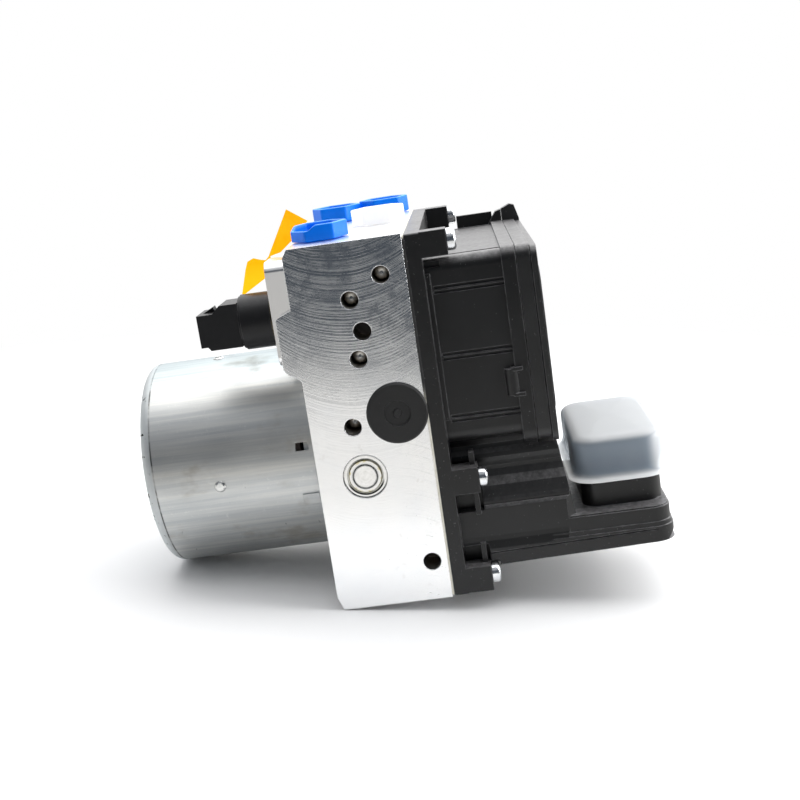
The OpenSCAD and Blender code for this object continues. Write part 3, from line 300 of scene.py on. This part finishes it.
def can_metal():
    """Plated sheet, streaked along the can, with a seam and chips where its closed end is rounded."""
    t = material_tree("plated_can")
    p = t.coords()
    x, y, z = t.xyz(p)
    streak = t.noise(t.scaled(p, (14.0, 520.0, 520.0)), 1.0, 4.0, 0.65)
    band = t.noise(t.scaled(p, (5.0, 75.0, 75.0)), 1.0, 3.0, 0.6)
    cloud = t.noise(p, 55.0, 5.0, 0.65)
    spangle = t.noise(p, 700.0, 3.0, 0.7)
    col = t.ramp(band, (0.25, (0.56, 0.595, 0.61)), (0.5, (0.66, 0.675, 0.67)), (0.78, (0.76, 0.75, 0.71)))
    col = t.mix(0.45, col, t.ramp(streak, (0.35, (0.46, 0.48, 0.49)), (0.65, (0.78, 0.77, 0.73))))
    stain = t.range(t.noise(t.scaled(p, (1.0, 1.6, 1.6)), 38.0, 4.0, 0.6), 0.55, 0.72)
    col = t.mix(t.times(stain, 0.5), col, (0.40, 0.36, 0.30))
    col = t.mix(t.times(t.range(spangle, 0.60, 0.72), 0.3), col, (0.85, 0.85, 0.82))
    scuff = t.range(t.noise(t.scaled(p, (420.0, 160.0, 160.0)), 1.0, 2.0), 0.74, 0.79)
    col = t.mix(t.times(scuff, 0.6), col, (0.10, 0.10, 0.10))
    # Painted shade: what faces up on the can is painted darker and bluer
    nz = t.xyz(t.normal())[2]
    col = t.mix(t.range(nz, 0.80, 0.97), col, t.mix(1.0, col, (0.66, 0.72, 0.75), "MULTIPLY"))

    # The rounding at the closed end is duller, and a broken dark line runs round where it starts
    rounding = CAN_END + 4.35 * MM
    turn = t.range(x, rounding, rounding - 0.8 * MM)
    col = t.mix(t.times(turn, 0.75), col, (0.64, 0.67, 0.68))
    seam = t.times(t.range(t.size(t.minus(x, rounding)), 0.45 * MM, 0.10 * MM),
                   t.range(t.noise(p, 130.0, 3.0), 0.35, 0.60, 0.1, 0.85))
    col = t.mix(seam, col, (0.03, 0.03, 0.03))
    up = t.minus(z, AXIS_Z)
    out = t.root(t.plus(t.times(y, y), t.times(up, up)))
    chip = t.times(t.range(t.noise(p, 420.0, 2.0, 0.5), 0.64, 0.67),
                   t.range(x, CAN_END + 3.45 * MM, CAN_END + 1.95 * MM),
                   t.range(out, CAN_R - 5.5 * MM, CAN_R - 4.0 * MM))
    col = t.mix(chip, col, (0.03, 0.03, 0.03))

    rough = t.plus(0.40, t.times(cloud, 0.20), t.times(stain, 0.12), t.times(turn, 0.15))
    height = t.plus(t.times(streak, 0.7), t.times(spangle, 0.4))
    n = t.bump(height, 0.35, 0.00008, t.edge(0.0005))
    return t.bsdf(Base_Color=col, Metallic=1.0, Roughness=rough, Normal=n, Anisotropic=0.35)


def metal(name, low, high, rough=0.3, scale=300.0):
    """A metal whose colour wanders between low and high."""
    t = material_tree(name)
    p = t.coords()
    fine = t.noise(p, scale, 4.0, 0.6)
    coarse = t.noise(p, scale * 0.12, 3.0)
    col = t.ramp(t.plus(t.times(fine, 0.5), t.times(coarse, 0.5)), (0.35, low), (0.65, high))
    roughness = t.plus(rough - 0.06, t.times(coarse, 0.14))
    n = t.bump(fine, 0.15, 0.00004, t.edge(0.0002))
    return t.bsdf(Base_Color=col, Metallic=1.0, Roughness=roughness, Normal=n)


def rubbed_and_lit_wall(t, p, col):
    """Speckles the slanted wall beside the connector with a paler grey: wear, and painted light where the
    wall catches the bright backdrop.
    """
    x, _, z = t.xyz(p)
    nx = t.xyz(t.normal())[0]
    wall_start, wall_end, wall_foot = 0.0655, 0.0725, 0.0325
    slant = t.times(t.range(nx, 0.40, 0.55), t.range(z, wall_foot, wall_foot + 1.5 * MM),
                    t.range(x, wall_start, wall_start + MM), t.range(x, wall_end, wall_end - MM))
    # Painted light and wear: the slanted wall is speckled a paler grey
    rubbed_and_lit = t.ramp(t.noise(p, 1300.0, 3.0, 0.7), (0.40, (0.02, 0.02, 0.02)), (0.62, (0.24, 0.245, 0.25)))
    return t.mix(slant, col, rubbed_and_lit)


def dust_and_top_light(t, p, col, dust_and_light):
    """Dust and pale specks on what faces up; the paler grey on the tops is also painted light."""
    nz = t.xyz(t.normal())[2]
    # Painted light and a powdery layer: what faces up is painted a paler grey
    top_dust_and_light = t.times(t.range(nz, 0.3, 0.95), t.range(t.noise(p, 480.0, 5.0, 0.7), 0.30, 0.72, 0.30, 1.0))
    speck = t.range(t.noise(p, 1500.0, 2.0, 0.6), 0.71, 0.75)
    return t.mix(t.times(t.most(top_dust_and_light, speck), dust_and_light), col, (0.32, 0.31, 0.315))


def plastic(name, low, high, rough=0.42, grain=2600.0, bump=0.25, edge=0.0004, spec=0.5, dust_and_light=0.0, edge_wear_and_highlight=None,
            rubbed_and_lit=False):
    """A moulded resin. Its edges can be given a paler colour, which stands for wear and for a painted
    highlight along them.
    """
    t = material_tree(name)
    p = t.coords()
    fine = t.noise(p, grain, 3.0, 0.6)
    coarse = t.noise(p, 45.0, 4.0, 0.6)
    col = t.ramp(coarse, (0.3, low), (0.7, high))
    # Painted highlight and wear: the edges are painted paler
    if edge_wear_and_highlight:
        uneven = t.range(t.noise(p, 260.0, 3.0), 0.35, 0.60, 0.25, 1.0)
        col = t.mix(t.times(t.rim(edge), uneven), col, edge_wear_and_highlight)
    if rubbed_and_lit:
        col = rubbed_and_lit_wall(t, p, col)
    if dust_and_light:
        col = dust_and_top_light(t, p, col, dust_and_light)
    roughness = t.plus(rough - 0.07, t.times(coarse, 0.14))
    n = t.bump(fine, bump, 0.00005, t.edge(edge))
    return t.bsdf(Base_Color=col, Roughness=roughness, Normal=n, Specular_IOR_Level=spec)


def tag_film():
    """Film that lets light through, and glows a little in its own colour as painted light."""
    t = material_tree("tag_film")
    p = t.coords()
    z = t.xyz(p)[2]
    lower_end, upper_end = 0.115, 0.148
    col = t.ramp(t.range(z, lower_end, upper_end),
                 (0.0, (1.0, 0.72, 0.02)), (0.4, (1.0, 0.56, 0.0)), (1.0, (1.0, 0.47, 0.0)))
    col = t.mix(t.times(t.range(t.noise(p, 90.0, 3.0), 0.45, 0.65), 0.3), col, (1.0, 0.62, 0.02))
    # Painted light: the film glows in its own colour
    film = t.node("ShaderNodeBsdfPrincipled", Base_Color=col, Roughness=0.35, Emission_Color=col,
                  Emission_Strength=0.75)
    through = t.node("ShaderNodeBsdfTranslucent", Color=col)
    return t.surface(t.blend(0.5, film, through))


def milky():
    """Cloudy clear cap with painted light: grey-blue painted shade on its sides, white painted light on top,
    on its sides facing +X and along its lip.
    """
    t = material_tree("milky_cap")
    p = t.coords()
    z = t.xyz(p)[2]
    nx, _, nz = t.xyz(t.normal("Normal"))
    cloud = t.noise(p, 40.0, 3.0)
    # Painted light and shade: what faces up or towards +X, and the lip, are painted white; the rest is
    # painted grey-blue shade
    light = t.most(t.range(nz, 0.25, 0.85), t.range(nx, 0.15, 0.70),
                   t.range(z, CAP_RIM + 1.5 * MM, CAP_RIM + 0.7 * MM))
    white = t.ramp(cloud, (0.3, (0.96, 0.965, 0.965)), (0.7, (0.985, 0.99, 0.985)))
    shaded = t.ramp(cloud, (0.3, (0.42, 0.49, 0.56)), (0.7, (0.50, 0.56, 0.62)))
    col = t.mix(light, shaded, white)
    n = t.bump(t.noise(p, 120.0, 2.0), 0.08, 0.0003, t.edge(0.0005))
    # Painted highlight: the lip glows
    lip = t.mix(t.range(z, CAP_RIM + 1.7 * MM, CAP_RIM + 0.9 * MM), (0.0, 0.0, 0.0), (1.0, 0.985, 0.95))
    gloss = t.node("ShaderNodeBsdfPrincipled", Base_Color=col, Roughness=0.26, Normal=n,
                   Specular_IOR_Level=0.6, Emission_Color=lip, Emission_Strength=0.55)
    through = t.node("ShaderNodeBsdfTranslucent", Color=col, Normal=n)
    clear = t.node("ShaderNodeBsdfTransparent", Color=(0.92, 0.95, 0.98))
    see = t.range(z, CAP_RIM + 2.5 * MM, CAP_RIM + 15.5 * MM, 0.45, 0.15)
    return t.surface(t.blend(see, t.blend(0.5, gloss, through), clear))


def plug_resin():
    """Blue resin, with a painted highlight on the thin rim that looks up and a faint painted glow all over.
    """
    t = material_tree("blue_plug")
    p = t.coords()
    z = t.xyz(p)[2]
    nz = t.xyz(t.normal("Normal"))[2]
    col = t.ramp(t.noise(p, 60.0, 4.0, 0.6), (0.3, (0.0005, 0.135, 0.70)), (0.7, (0.001, 0.18, 0.86)))
    # Painted highlight: the thin rim that looks up is painted paler
    lip = t.times(t.range(nz, 0.25, 0.80), t.range(z, TOP + 3.4 * MM, TOP + 4.0 * MM))
    col = t.mix(t.times(lip, 0.55), col, (0.16, 0.50, 1.0))
    n = t.bump(t.noise(p, 900.0, 3.0, 0.6), 0.12, 0.00005)
    # Painted light: the resin glows faintly in its own colour
    return t.bsdf(Base_Color=col, Roughness=0.38, Normal=n, Specular_IOR_Level=0.22, Emission_Color=col,
                  Emission_Strength=0.2)


def bright_moulding():
    """White plug whose thin walls let the backdrop's light through, and which glows a little as painted
    light.
    """
    t = material_tree("white_plug")
    p = t.coords()
    col = t.ramp(t.noise(p, 45.0, 4.0, 0.6), (0.3, (0.93, 0.935, 0.94)), (0.7, (0.97, 0.97, 0.97)))
    n = t.bump(t.noise(p, 900.0, 3.0, 0.6), 0.12, 0.00005, t.edge(0.0004))
    # Painted light: the plug glows in its own colour
    walls = t.node("ShaderNodeBsdfPrincipled", Base_Color=col, Roughness=0.35, Normal=n, Emission_Color=col,
                   Emission_Strength=0.3)
    through = t.node("ShaderNodeBsdfTranslucent", Color=col, Normal=n)
    return t.surface(t.blend(0.3, walls, through))


def pump_plug_metal():
    """Pressed-in plug: a dark olive line round its rim, a grey hollow, and a shadow gap under its head."""
    t = material_tree("plug_aluminium")
    p = t.coords()
    x, _, z = t.xyz(p)
    dx = t.minus(x, PUMP_X)
    dz = t.minus(z, AXIS_Z)
    r = t.root(t.plus(t.times(dx, dx), t.times(dz, dz)))
    uneven = t.noise(p, 500.0, 3.0, 0.6)

    def band(mid, half):
        return t.range(t.size(t.minus(r, mid)), half, half * 0.4)

    col = t.ramp(uneven, (0.3, (0.84, 0.84, 0.82)), (0.7, (0.95, 0.95, 0.94)))
    hollow = t.times(band(4.4 * MM, 0.7 * MM), t.range(uneven, 0.3, 0.6, 0.4, 0.9))
    col = t.mix(hollow, col, (0.42, 0.43, 0.42))
    line = t.times(band(6.05 * MM, 0.32 * MM), t.range(uneven, 0.35, 0.55, 0.55, 1.0))
    col = t.mix(line, col, (0.13, 0.11, 0.035))
    stain = t.times(band(5.6 * MM, 0.4 * MM), t.range(uneven, 0.50, 0.62, 0.0, 0.7))
    col = t.mix(stain, col, (0.62, 0.55, 0.28))
    under = t.times(band(6.9 * MM, 0.42 * MM), t.range(dz, -1.0 * MM, -4.2 * MM))
    col = t.mix(under, col, (0.012, 0.012, 0.012))
    rings = t.times(t.sine(t.times(r, 5200.0)), t.range(r, 4.2 * MM, 3.8 * MM))
    height = t.plus(t.times(uneven, 0.5), t.times(rings, 0.4))
    return t.bsdf(Base_Color=col, Metallic=1.0, Roughness=t.plus(0.16, t.times(hollow, 0.3)),
                  Normal=t.bump(height, 0.25, 0.00004, t.edge(0.0002)))


def gasket_foam():
    """Cream foam; its squeezed side edges are darkened from the middle of the block up to near its top."""
    t = material_tree("cream_gasket")
    p = t.coords()
    _, y, z = t.xyz(p)
    col = t.ramp(t.noise(p, 300.0, 3.0), (0.3, (0.70, 0.67, 0.56)), (0.7, (0.84, 0.81, 0.72)))
    darkened_edge = t.times(t.range(t.size(y), SIDE - 1.3 * MM, SIDE - 0.7 * MM), t.range(z, 0.070, 0.082),
                    t.range(z, TOP - 1.3 * MM, TOP - 2.3 * MM))
    col = t.mix(darkened_edge, col, (0.02, 0.02, 0.02))
    n = t.bump(t.noise(p, 900.0, 3.0), 0.25, 0.00005)
    return t.bsdf(Base_Color=col, Roughness=0.65, Normal=n)


MATS = {
    "block": block_metal(),
    "can": can_metal(),
    "steel": metal("ball_steel", (0.62, 0.60, 0.55), (0.85, 0.83, 0.78), 0.16, 200.0),
    "rivet": metal("rivet_zinc", (0.62, 0.63, 0.62), (0.85, 0.85, 0.83), 0.25),
    "magnet": plastic("ferrite", (0.05, 0.05, 0.055), (0.08, 0.08, 0.085), 0.6),
    "lamination": metal("laminations", (0.30, 0.31, 0.33), (0.48, 0.49, 0.51), 0.45),
    "copper": metal("enamelled_wire", (0.55, 0.22, 0.08), (0.78, 0.36, 0.16), 0.3, 500.0),
    "holder": plastic("holder_resin", (0.030, 0.020, 0.014), (0.050, 0.032, 0.022), 0.5),
    "carbon": plastic("pressed_carbon", (0.02, 0.02, 0.02), (0.04, 0.04, 0.04), 0.6),
    "bronze": metal("sintered_bronze", (0.45, 0.30, 0.14), (0.62, 0.44, 0.22), 0.45),
    "black": plastic("black_rubber", (0.010, 0.010, 0.010), (0.018, 0.018, 0.018), 0.44, 1500.0, 0.3, 0.0003,
                     spec=0.40, dust_and_light=0.10),
    "spring": metal("spring_wire", (0.5, 0.51, 0.53), (0.75, 0.76, 0.78), 0.25),
    "plug_metal": pump_plug_metal(),
    "gasket": gasket_foam(),
    "housing": plastic("housing_resin", (0.007, 0.007, 0.007), (0.012, 0.012, 0.0125), 0.36, 3000.0, 0.22,
                       0.0005, spec=0.42, dust_and_light=0.55, edge_wear_and_highlight=(0.11, 0.11, 0.114), rubbed_and_lit=True),
    "lid": plastic("lid_resin", (0.009, 0.009, 0.009), (0.015, 0.015, 0.0155), 0.38, 3000.0, 0.22,
                   0.0005, spec=0.55, dust_and_light=0.55, edge_wear_and_highlight=(0.12, 0.12, 0.124)),
    "screw": metal("screw_zinc", (0.74, 0.76, 0.78), (0.95, 0.96, 0.97), 0.2),
    "board": plastic("board_green", (0.01, 0.09, 0.035), (0.02, 0.13, 0.05), 0.3),
    "contact": metal("contact_tin", (0.6, 0.52, 0.34), (0.8, 0.72, 0.5), 0.25),
    "cap": milky(),
    "valve": metal("valve_steel", (0.6, 0.61, 0.62), (0.82, 0.83, 0.84), 0.22),
    "blue": plug_resin(),
    "white": bright_moulding(),
    "brass": metal("sensor_collar", (0.62, 0.52, 0.34), (0.85, 0.76, 0.58), 0.3),
    "sensor": plastic("sensor_resin", (0.008, 0.008, 0.009), (0.014, 0.014, 0.015), 0.38, 3000.0, 0.2,
                      0.0004, spec=0.28, dust_and_light=0.05, edge_wear_and_highlight=(0.06, 0.06, 0.06)),
    "tag": tag_film(),
}

slot_of = {s["node"]: s["material_slot"] for s in frame["record"]["subparts"]}
for name, obj in nodes.items():
    obj.data.materials.clear()
    obj.data.materials.append(MATS[slot_of[name]])


# Replacing pieces in millimetres: the port plugs and the connector's cap, with softer corners and thin lips

def linked(name, data):
    obj = bpy.data.objects.new(name, data)
    bpy.context.scene.collection.objects.link(obj)
    return obj


def mesh_object(name, bm, mat):
    me = bpy.data.meshes.new(name)
    bm.to_mesh(me)
    bm.free()
    me.materials.append(mat)
    return linked(name, me)


def ring_mesh(name, rings, mat):
    """Closed smooth shell through rings of equal length; the first and last are closed by fans."""
    bm = bmesh.new()
    n = len(rings[0])
    rows = [[bm.verts.new(p) for p in ring] for ring in rings]
    for a, b in zip(rows, rows[1:]):
        for i in range(n):
            j = (i + 1) % n
            bm.faces.new((a[i], a[j], b[j], b[i]))
    for row, flip in ((rows[0], True), (rows[-1], False)):
        mid = bm.verts.new(sum((v.co for v in row), Vector()) / n)
        for i in range(n):
            j = (i + 1) % n
            bm.faces.new((row[j], row[i], mid) if flip else (row[i], row[j], mid))
    bmesh.ops.recalc_face_normals(bm, faces=bm.faces)
    for f in bm.faces:
        f.smooth = True
    return mesh_object(name, bm, mat)


def hexagon(flat, corner, per_side=9, per_corner=5):
    """Points round a hexagon with rounded corners; flat is half its width across flats."""
    pts = []
    reach = (flat - corner) / math.cos(math.radians(30))
    for k in range(6):
        a, b = math.radians(60 * k), math.radians(60 * (k + 1))
        ca, cb = (Vector((reach * math.cos(t), reach * math.sin(t))) for t in (a, b))
        for i in range(per_corner):
            t = a + math.radians(-30 + 60 * i / (per_corner - 1))
            pts.append(ca + corner * Vector((math.cos(t), math.sin(t))))
        t = a + math.radians(30)
        out = corner * Vector((math.cos(t), math.sin(t)))
        for i in range(1, per_side + 1):
            pts.append(ca.lerp(cb, i / (per_side + 1)) + out)
    return pts


def ease(t):
    t = min(max(t, 0.0), 1.0)
    return t * t * (3 - 2 * t)


def seat(node, out):
    """Where the axis of a CAD plug meets the face that the plug stands on, in millimetres."""
    cad_tall = 7.3
    low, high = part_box(node)
    axis = out @ Vector((0.0, 0.0, 1.0))
    half = abs((high - low).dot(axis)) / 2
    return (middle(node) + axis * half) / MM - axis * cad_tall


def plug(node, out, mat, turn, tall, dip=None):
    """Six-sided cup over a round spigot. turn and dip are in degrees, and its rim is lower towards dip."""
    flat, low, wall, corner = 9.35, 4.3, 1.3, 1.3
    spigot_r, spigot_low, spigot_high = 6.4, -2.3, 0.3
    cup_floor, dip_from = 2.6, 3.0
    sides = hexagon(flat, corner)
    spin = math.radians(turn)
    place = seat(node, out)

    def dipped(q, z):
        if z < dip_from or dip is None:
            return z
        w = (math.degrees(math.atan2(q.y, q.x)) + turn - dip + 180) % 360 - 180
        down = min(ease((w + 51) / 20), ease((53 - w) / 22))
        return z - (tall - low) * down * (z - dip_from) / (tall - dip_from)

    def ring(inset, z):
        k = (flat - inset) / flat
        return [(q * k, dipped(q, z)) for q in sides]

    def round_ring(r, z):
        return [(q.normalized() * r, z) for q in sides]

    outside = [(0.5, 0.32), (0.1, 0.5), (0.0, 0.9), (0.0, 3.0), (0.0, 4.5), (0.0, tall - 0.5)]
    rim = [(0.12, tall - 0.15), (0.4, tall), (wall - 0.3, tall), (wall, tall - 0.25)]
    inside = [(wall, 4.5), (wall, 3.0), (wall + 0.5, cup_floor), (wall + 3.0, cup_floor)]
    rings = [round_ring(spigot_r, spigot_low), round_ring(spigot_r, spigot_high)]
    rings += [ring(inset, z) for inset, z in outside + rim + inside]
    turned = Matrix.Rotation(spin, 3, "Z")
    placed = [[(place + out @ (turned @ Vector((q.x, q.y, z)))) * MM for q, z in r] for r in rings]
    obj = ring_mesh(node + "_cup", placed, mat)
    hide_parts(node)
    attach(obj, node)


def cap():
    """Cap over the connector: a rounded box whose lower edge turns out into a lip."""
    corner, lip = 8.5, 2.6
    low, high = (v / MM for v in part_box("connector_cap"))
    mid = (low + high) / 2
    hx, hy = (high.x - low.x) / 2 - lip, (high.y - low.y) / 2 - lip

    def ring(z, grow):
        pts = []
        r = corner + grow
        for k, (sx, sy) in enumerate(((1, 1), (-1, 1), (-1, -1), (1, -1))):
            mx, my = mid.x + sx * (hx - corner), mid.y + sy * (hy - corner)
            for i in range(13):
                a = math.radians(90 * k + 90 * i / 12)
                q = Vector((mx + r * math.cos(a), my + r * math.sin(a)))
                # The body is looser on its free sides
                loose = 1.0 - ease((grow - 0.2) / 1.6)
                q.x += 0.5 * loose * ease((q.x - mid.x) / hx + 0.2)
                q.y += 1.4 * loose * ease((q.y - mid.y) / hy + 0.1)
                pts.append(Vector((q.x, q.y, low.z + z)) * MM)
        return pts

    # Height over the lip's lowest edge, and how far the ring stands out of the body's sides
    inner = [(15.3, -5.2), (15.0, -3.2), (14.3, -2.0), (13.1, -1.3), (9.5, -1.2), (6.0, -1.2), (4.1, -1.0),
             (2.7, -0.6), (1.5, 0.2), (0.5, 1.2), (0.0, 1.7)]
    outer = [(0.0, 2.3), (0.12, 2.55), (0.5, 2.6), (0.85, 2.5), (1.1, 2.2), (1.45, 1.6), (2.0, 1.0),
             (2.9, 0.5), (4.3, 0.15), (6.0, 0.0), (9.5, 0.0), (13.1, 0.0), (14.1, -0.15), (15.0, -0.6),
             (15.7, -1.3), (16.2, -2.3), (16.5, -3.5), (16.7, -5.0), (17.0, -7.5)]
    # The rings run from the inner top down, round the lip and up outside, and fans close both ends
    rings = [ring(z, grow) for z, grow in inner + outer]
    # The top is slightly crowned: its last rings shrink towards the middle
    last_but_one = rings[-2]
    centre = Vector((mid.x, mid.y, 0)) * MM
    for share, z in ((0.55, 17.4), (0.2, 17.6)):
        height = Vector((0, 0, (low.z + z) * MM))
        rings.append([centre + (Vector((p.x, p.y, 0)) - centre) * share + height for p in last_but_one])
    obj = ring_mesh("connector_cap_shell", rings, MATS["cap"])
    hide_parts("connector_cap")
    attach(obj, "connector_cap")


UP = Matrix.Identity(3)
OUT = Matrix(((0.0, 0.0, -1.0), (0.0, 1.0, 0.0), (1.0, 0.0, 0.0)))
plug("port_plug_1", UP, MATS["blue"], turn=5.3, tall=6.2, dip=218)
plug("port_plug_2", UP, MATS["blue"], turn=-4, tall=6.8)
plug("port_plug_3", UP, MATS["blue"], turn=10, tall=7.2)
plug("port_plug_4", UP, MATS["white"], turn=0, tall=6.6)
plug("inlet_plug_1", OUT, MATS["blue"], turn=90, tall=6.2, dip=300)
plug("inlet_plug_2", OUT, MATS["blue"], turn=90, tall=6.2, dip=300)
cap()


# Coil springs shorten as their pistons travel, so each gets a mesh of its own

def springs():
    for joint in frame["record"]["behaviour"]["joints"]:
        for part in joint.get("deforming_nodes", []):
            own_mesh(nodes[part["node"]])


springs()


# Camera at the photograph's place

def camera():
    yaw, pitch, roll = math.radians(-4.11), math.radians(12.1), math.radians(-8.46)
    place = Vector((0.04435, -0.5031, 0.1716))
    sensor = 36.0
    focal_px, picture_px = 1257.3, 800.0
    ahead = Vector((math.sin(yaw) * math.cos(pitch), math.cos(yaw) * math.cos(pitch), -math.sin(pitch)))
    level = Vector((math.cos(yaw), -math.sin(yaw), 0.0))
    upright = level.cross(ahead)
    right = math.cos(roll) * level + math.sin(roll) * upright
    up = -math.sin(roll) * level + math.cos(roll) * upright
    cam = bpy.data.cameras.new("camera")
    cam.sensor_width = sensor
    cam.lens = focal_px / picture_px * sensor
    cam.clip_start = 0.01
    cam.clip_end = 20.0
    obj = linked("camera", cam)
    m = Matrix((right, up, -ahead)).transposed().to_4x4()
    m.translation = place
    obj.matrix_world = m
    bpy.context.scene.camera = obj


camera()


# Floor: the plane through the block's lower motor-side edge and the can's rim, as the unit lies on a table

def floor():
    edge_x = -FACE + 2.0 * MM
    rim_x = CAN_END + 1.95 * MM
    slope = CAN_BOTTOM / (edge_x - rim_x)
    clearance = 0.2 * MM
    x0, x1, y0, y1 = -1.6, 1.6, -0.50, 3.2
    bm = bmesh.new()
    corners = ((x0, y0), (x1, y0), (x1, y1), (x0, y1))
    bm.faces.new([bm.verts.new((x, y, (edge_x - x) * slope - clearance)) for x, y in corners])

    t = material_tree("paper")
    p = t.coords()
    col = t.ramp(t.noise(p, 4.0, 2.0), (0.3, (0.82, 0.82, 0.825)), (0.7, (0.84, 0.84, 0.84)))
    paper = t.node("ShaderNodeBsdfDiffuse", Color=col)
    # Away from the unit the paper runs out into plain white, and polished faces mirror it as white
    away = t.node("ShaderNodeVectorMath", out="Value", props={"operation": "LENGTH"}, i0=p)
    glow = t.node("ShaderNodeEmission", Color=(1.0, 1.0, 1.0), Strength=1.0)
    mirrored = t.node("ShaderNodeEmission", Color=(1.0, 0.988, 0.965), Strength=0.93)
    seen = t.times(t.range(away, 0.32, 0.62), t.node("ShaderNodeLightPath", out="Is Camera Ray"))
    shine = t.times(t.range(away, 0.10, 0.22), t.node("ShaderNodeLightPath", out="Is Glossy Ray"))
    mat = t.surface(t.blend(seen, t.blend(shine, paper, mirrored), glow))
    mesh_object("floor", bm, mat)


floor()


# Lights and the room

def area(name, place, target, size, power, color=(1.0, 1.0, 1.0)):
    light = bpy.data.lights.new(name, "AREA")
    light.shape = "RECTANGLE"
    light.size, light.size_y = size
    light.energy = power
    light.color = color
    obj = linked(name, light)
    d = Vector(target) - Vector(place)
    aim = d.to_track_quat("-Z", "Y").to_matrix().to_4x4()
    obj.matrix_world = Matrix.Translation(Vector(place)) @ aim


area("top", (0.20, 0.30, 1.2), target=(0.0, 0.0, 0.05), size=(1.9, 1.9), power=23.0)
area("left", (-1.1, -0.1, 0.8), target=(-0.03, 0.0, 0.07), size=(0.5, 0.7), power=0.7,
     color=(0.97, 0.985, 1.0))
area("right", (1.0, -0.1, 0.5), target=(0.05, 0.0, 0.03), size=(0.6, 0.7), power=7.0)
area("card", (0.75, 0.05, 0.13), target=(0.08, 0.0, 0.02), size=(0.5, 0.16), power=2.4)


def world():
    """A dark room in front of the table, which the upright faces mirror, and a lit backdrop behind it."""
    studio = bpy.data.worlds.new("studio")
    bpy.context.scene.world = studio
    t = Tree(studio, "ShaderNodeOutputWorld")
    _, y, z = t.xyz(t.node("ShaderNodeTexCoord", out="Generated"))
    front = t.range(y, -0.10, -0.55)
    low = t.range(z, 0.66, 0.42)
    back = t.range(y, 0.10, 0.60)
    room = t.mix(back, (0.38, 0.39, 0.41), (1.30, 1.30, 1.30))
    room = t.mix(t.times(front, low), room, (0.060, 0.070, 0.084))
    lit = t.node("ShaderNodeBackground", Color=room, Strength=1.0)
    white = t.node("ShaderNodeBackground", Color=(1.0, 1.0, 1.0), Strength=1.0)
    seen = t.node("ShaderNodeLightPath", out="Is Camera Ray")
    t.surface(t.blend(seen, lit, white))


world()

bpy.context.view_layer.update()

scene = bpy.context.scene
scene.view_settings.view_transform = "Standard"
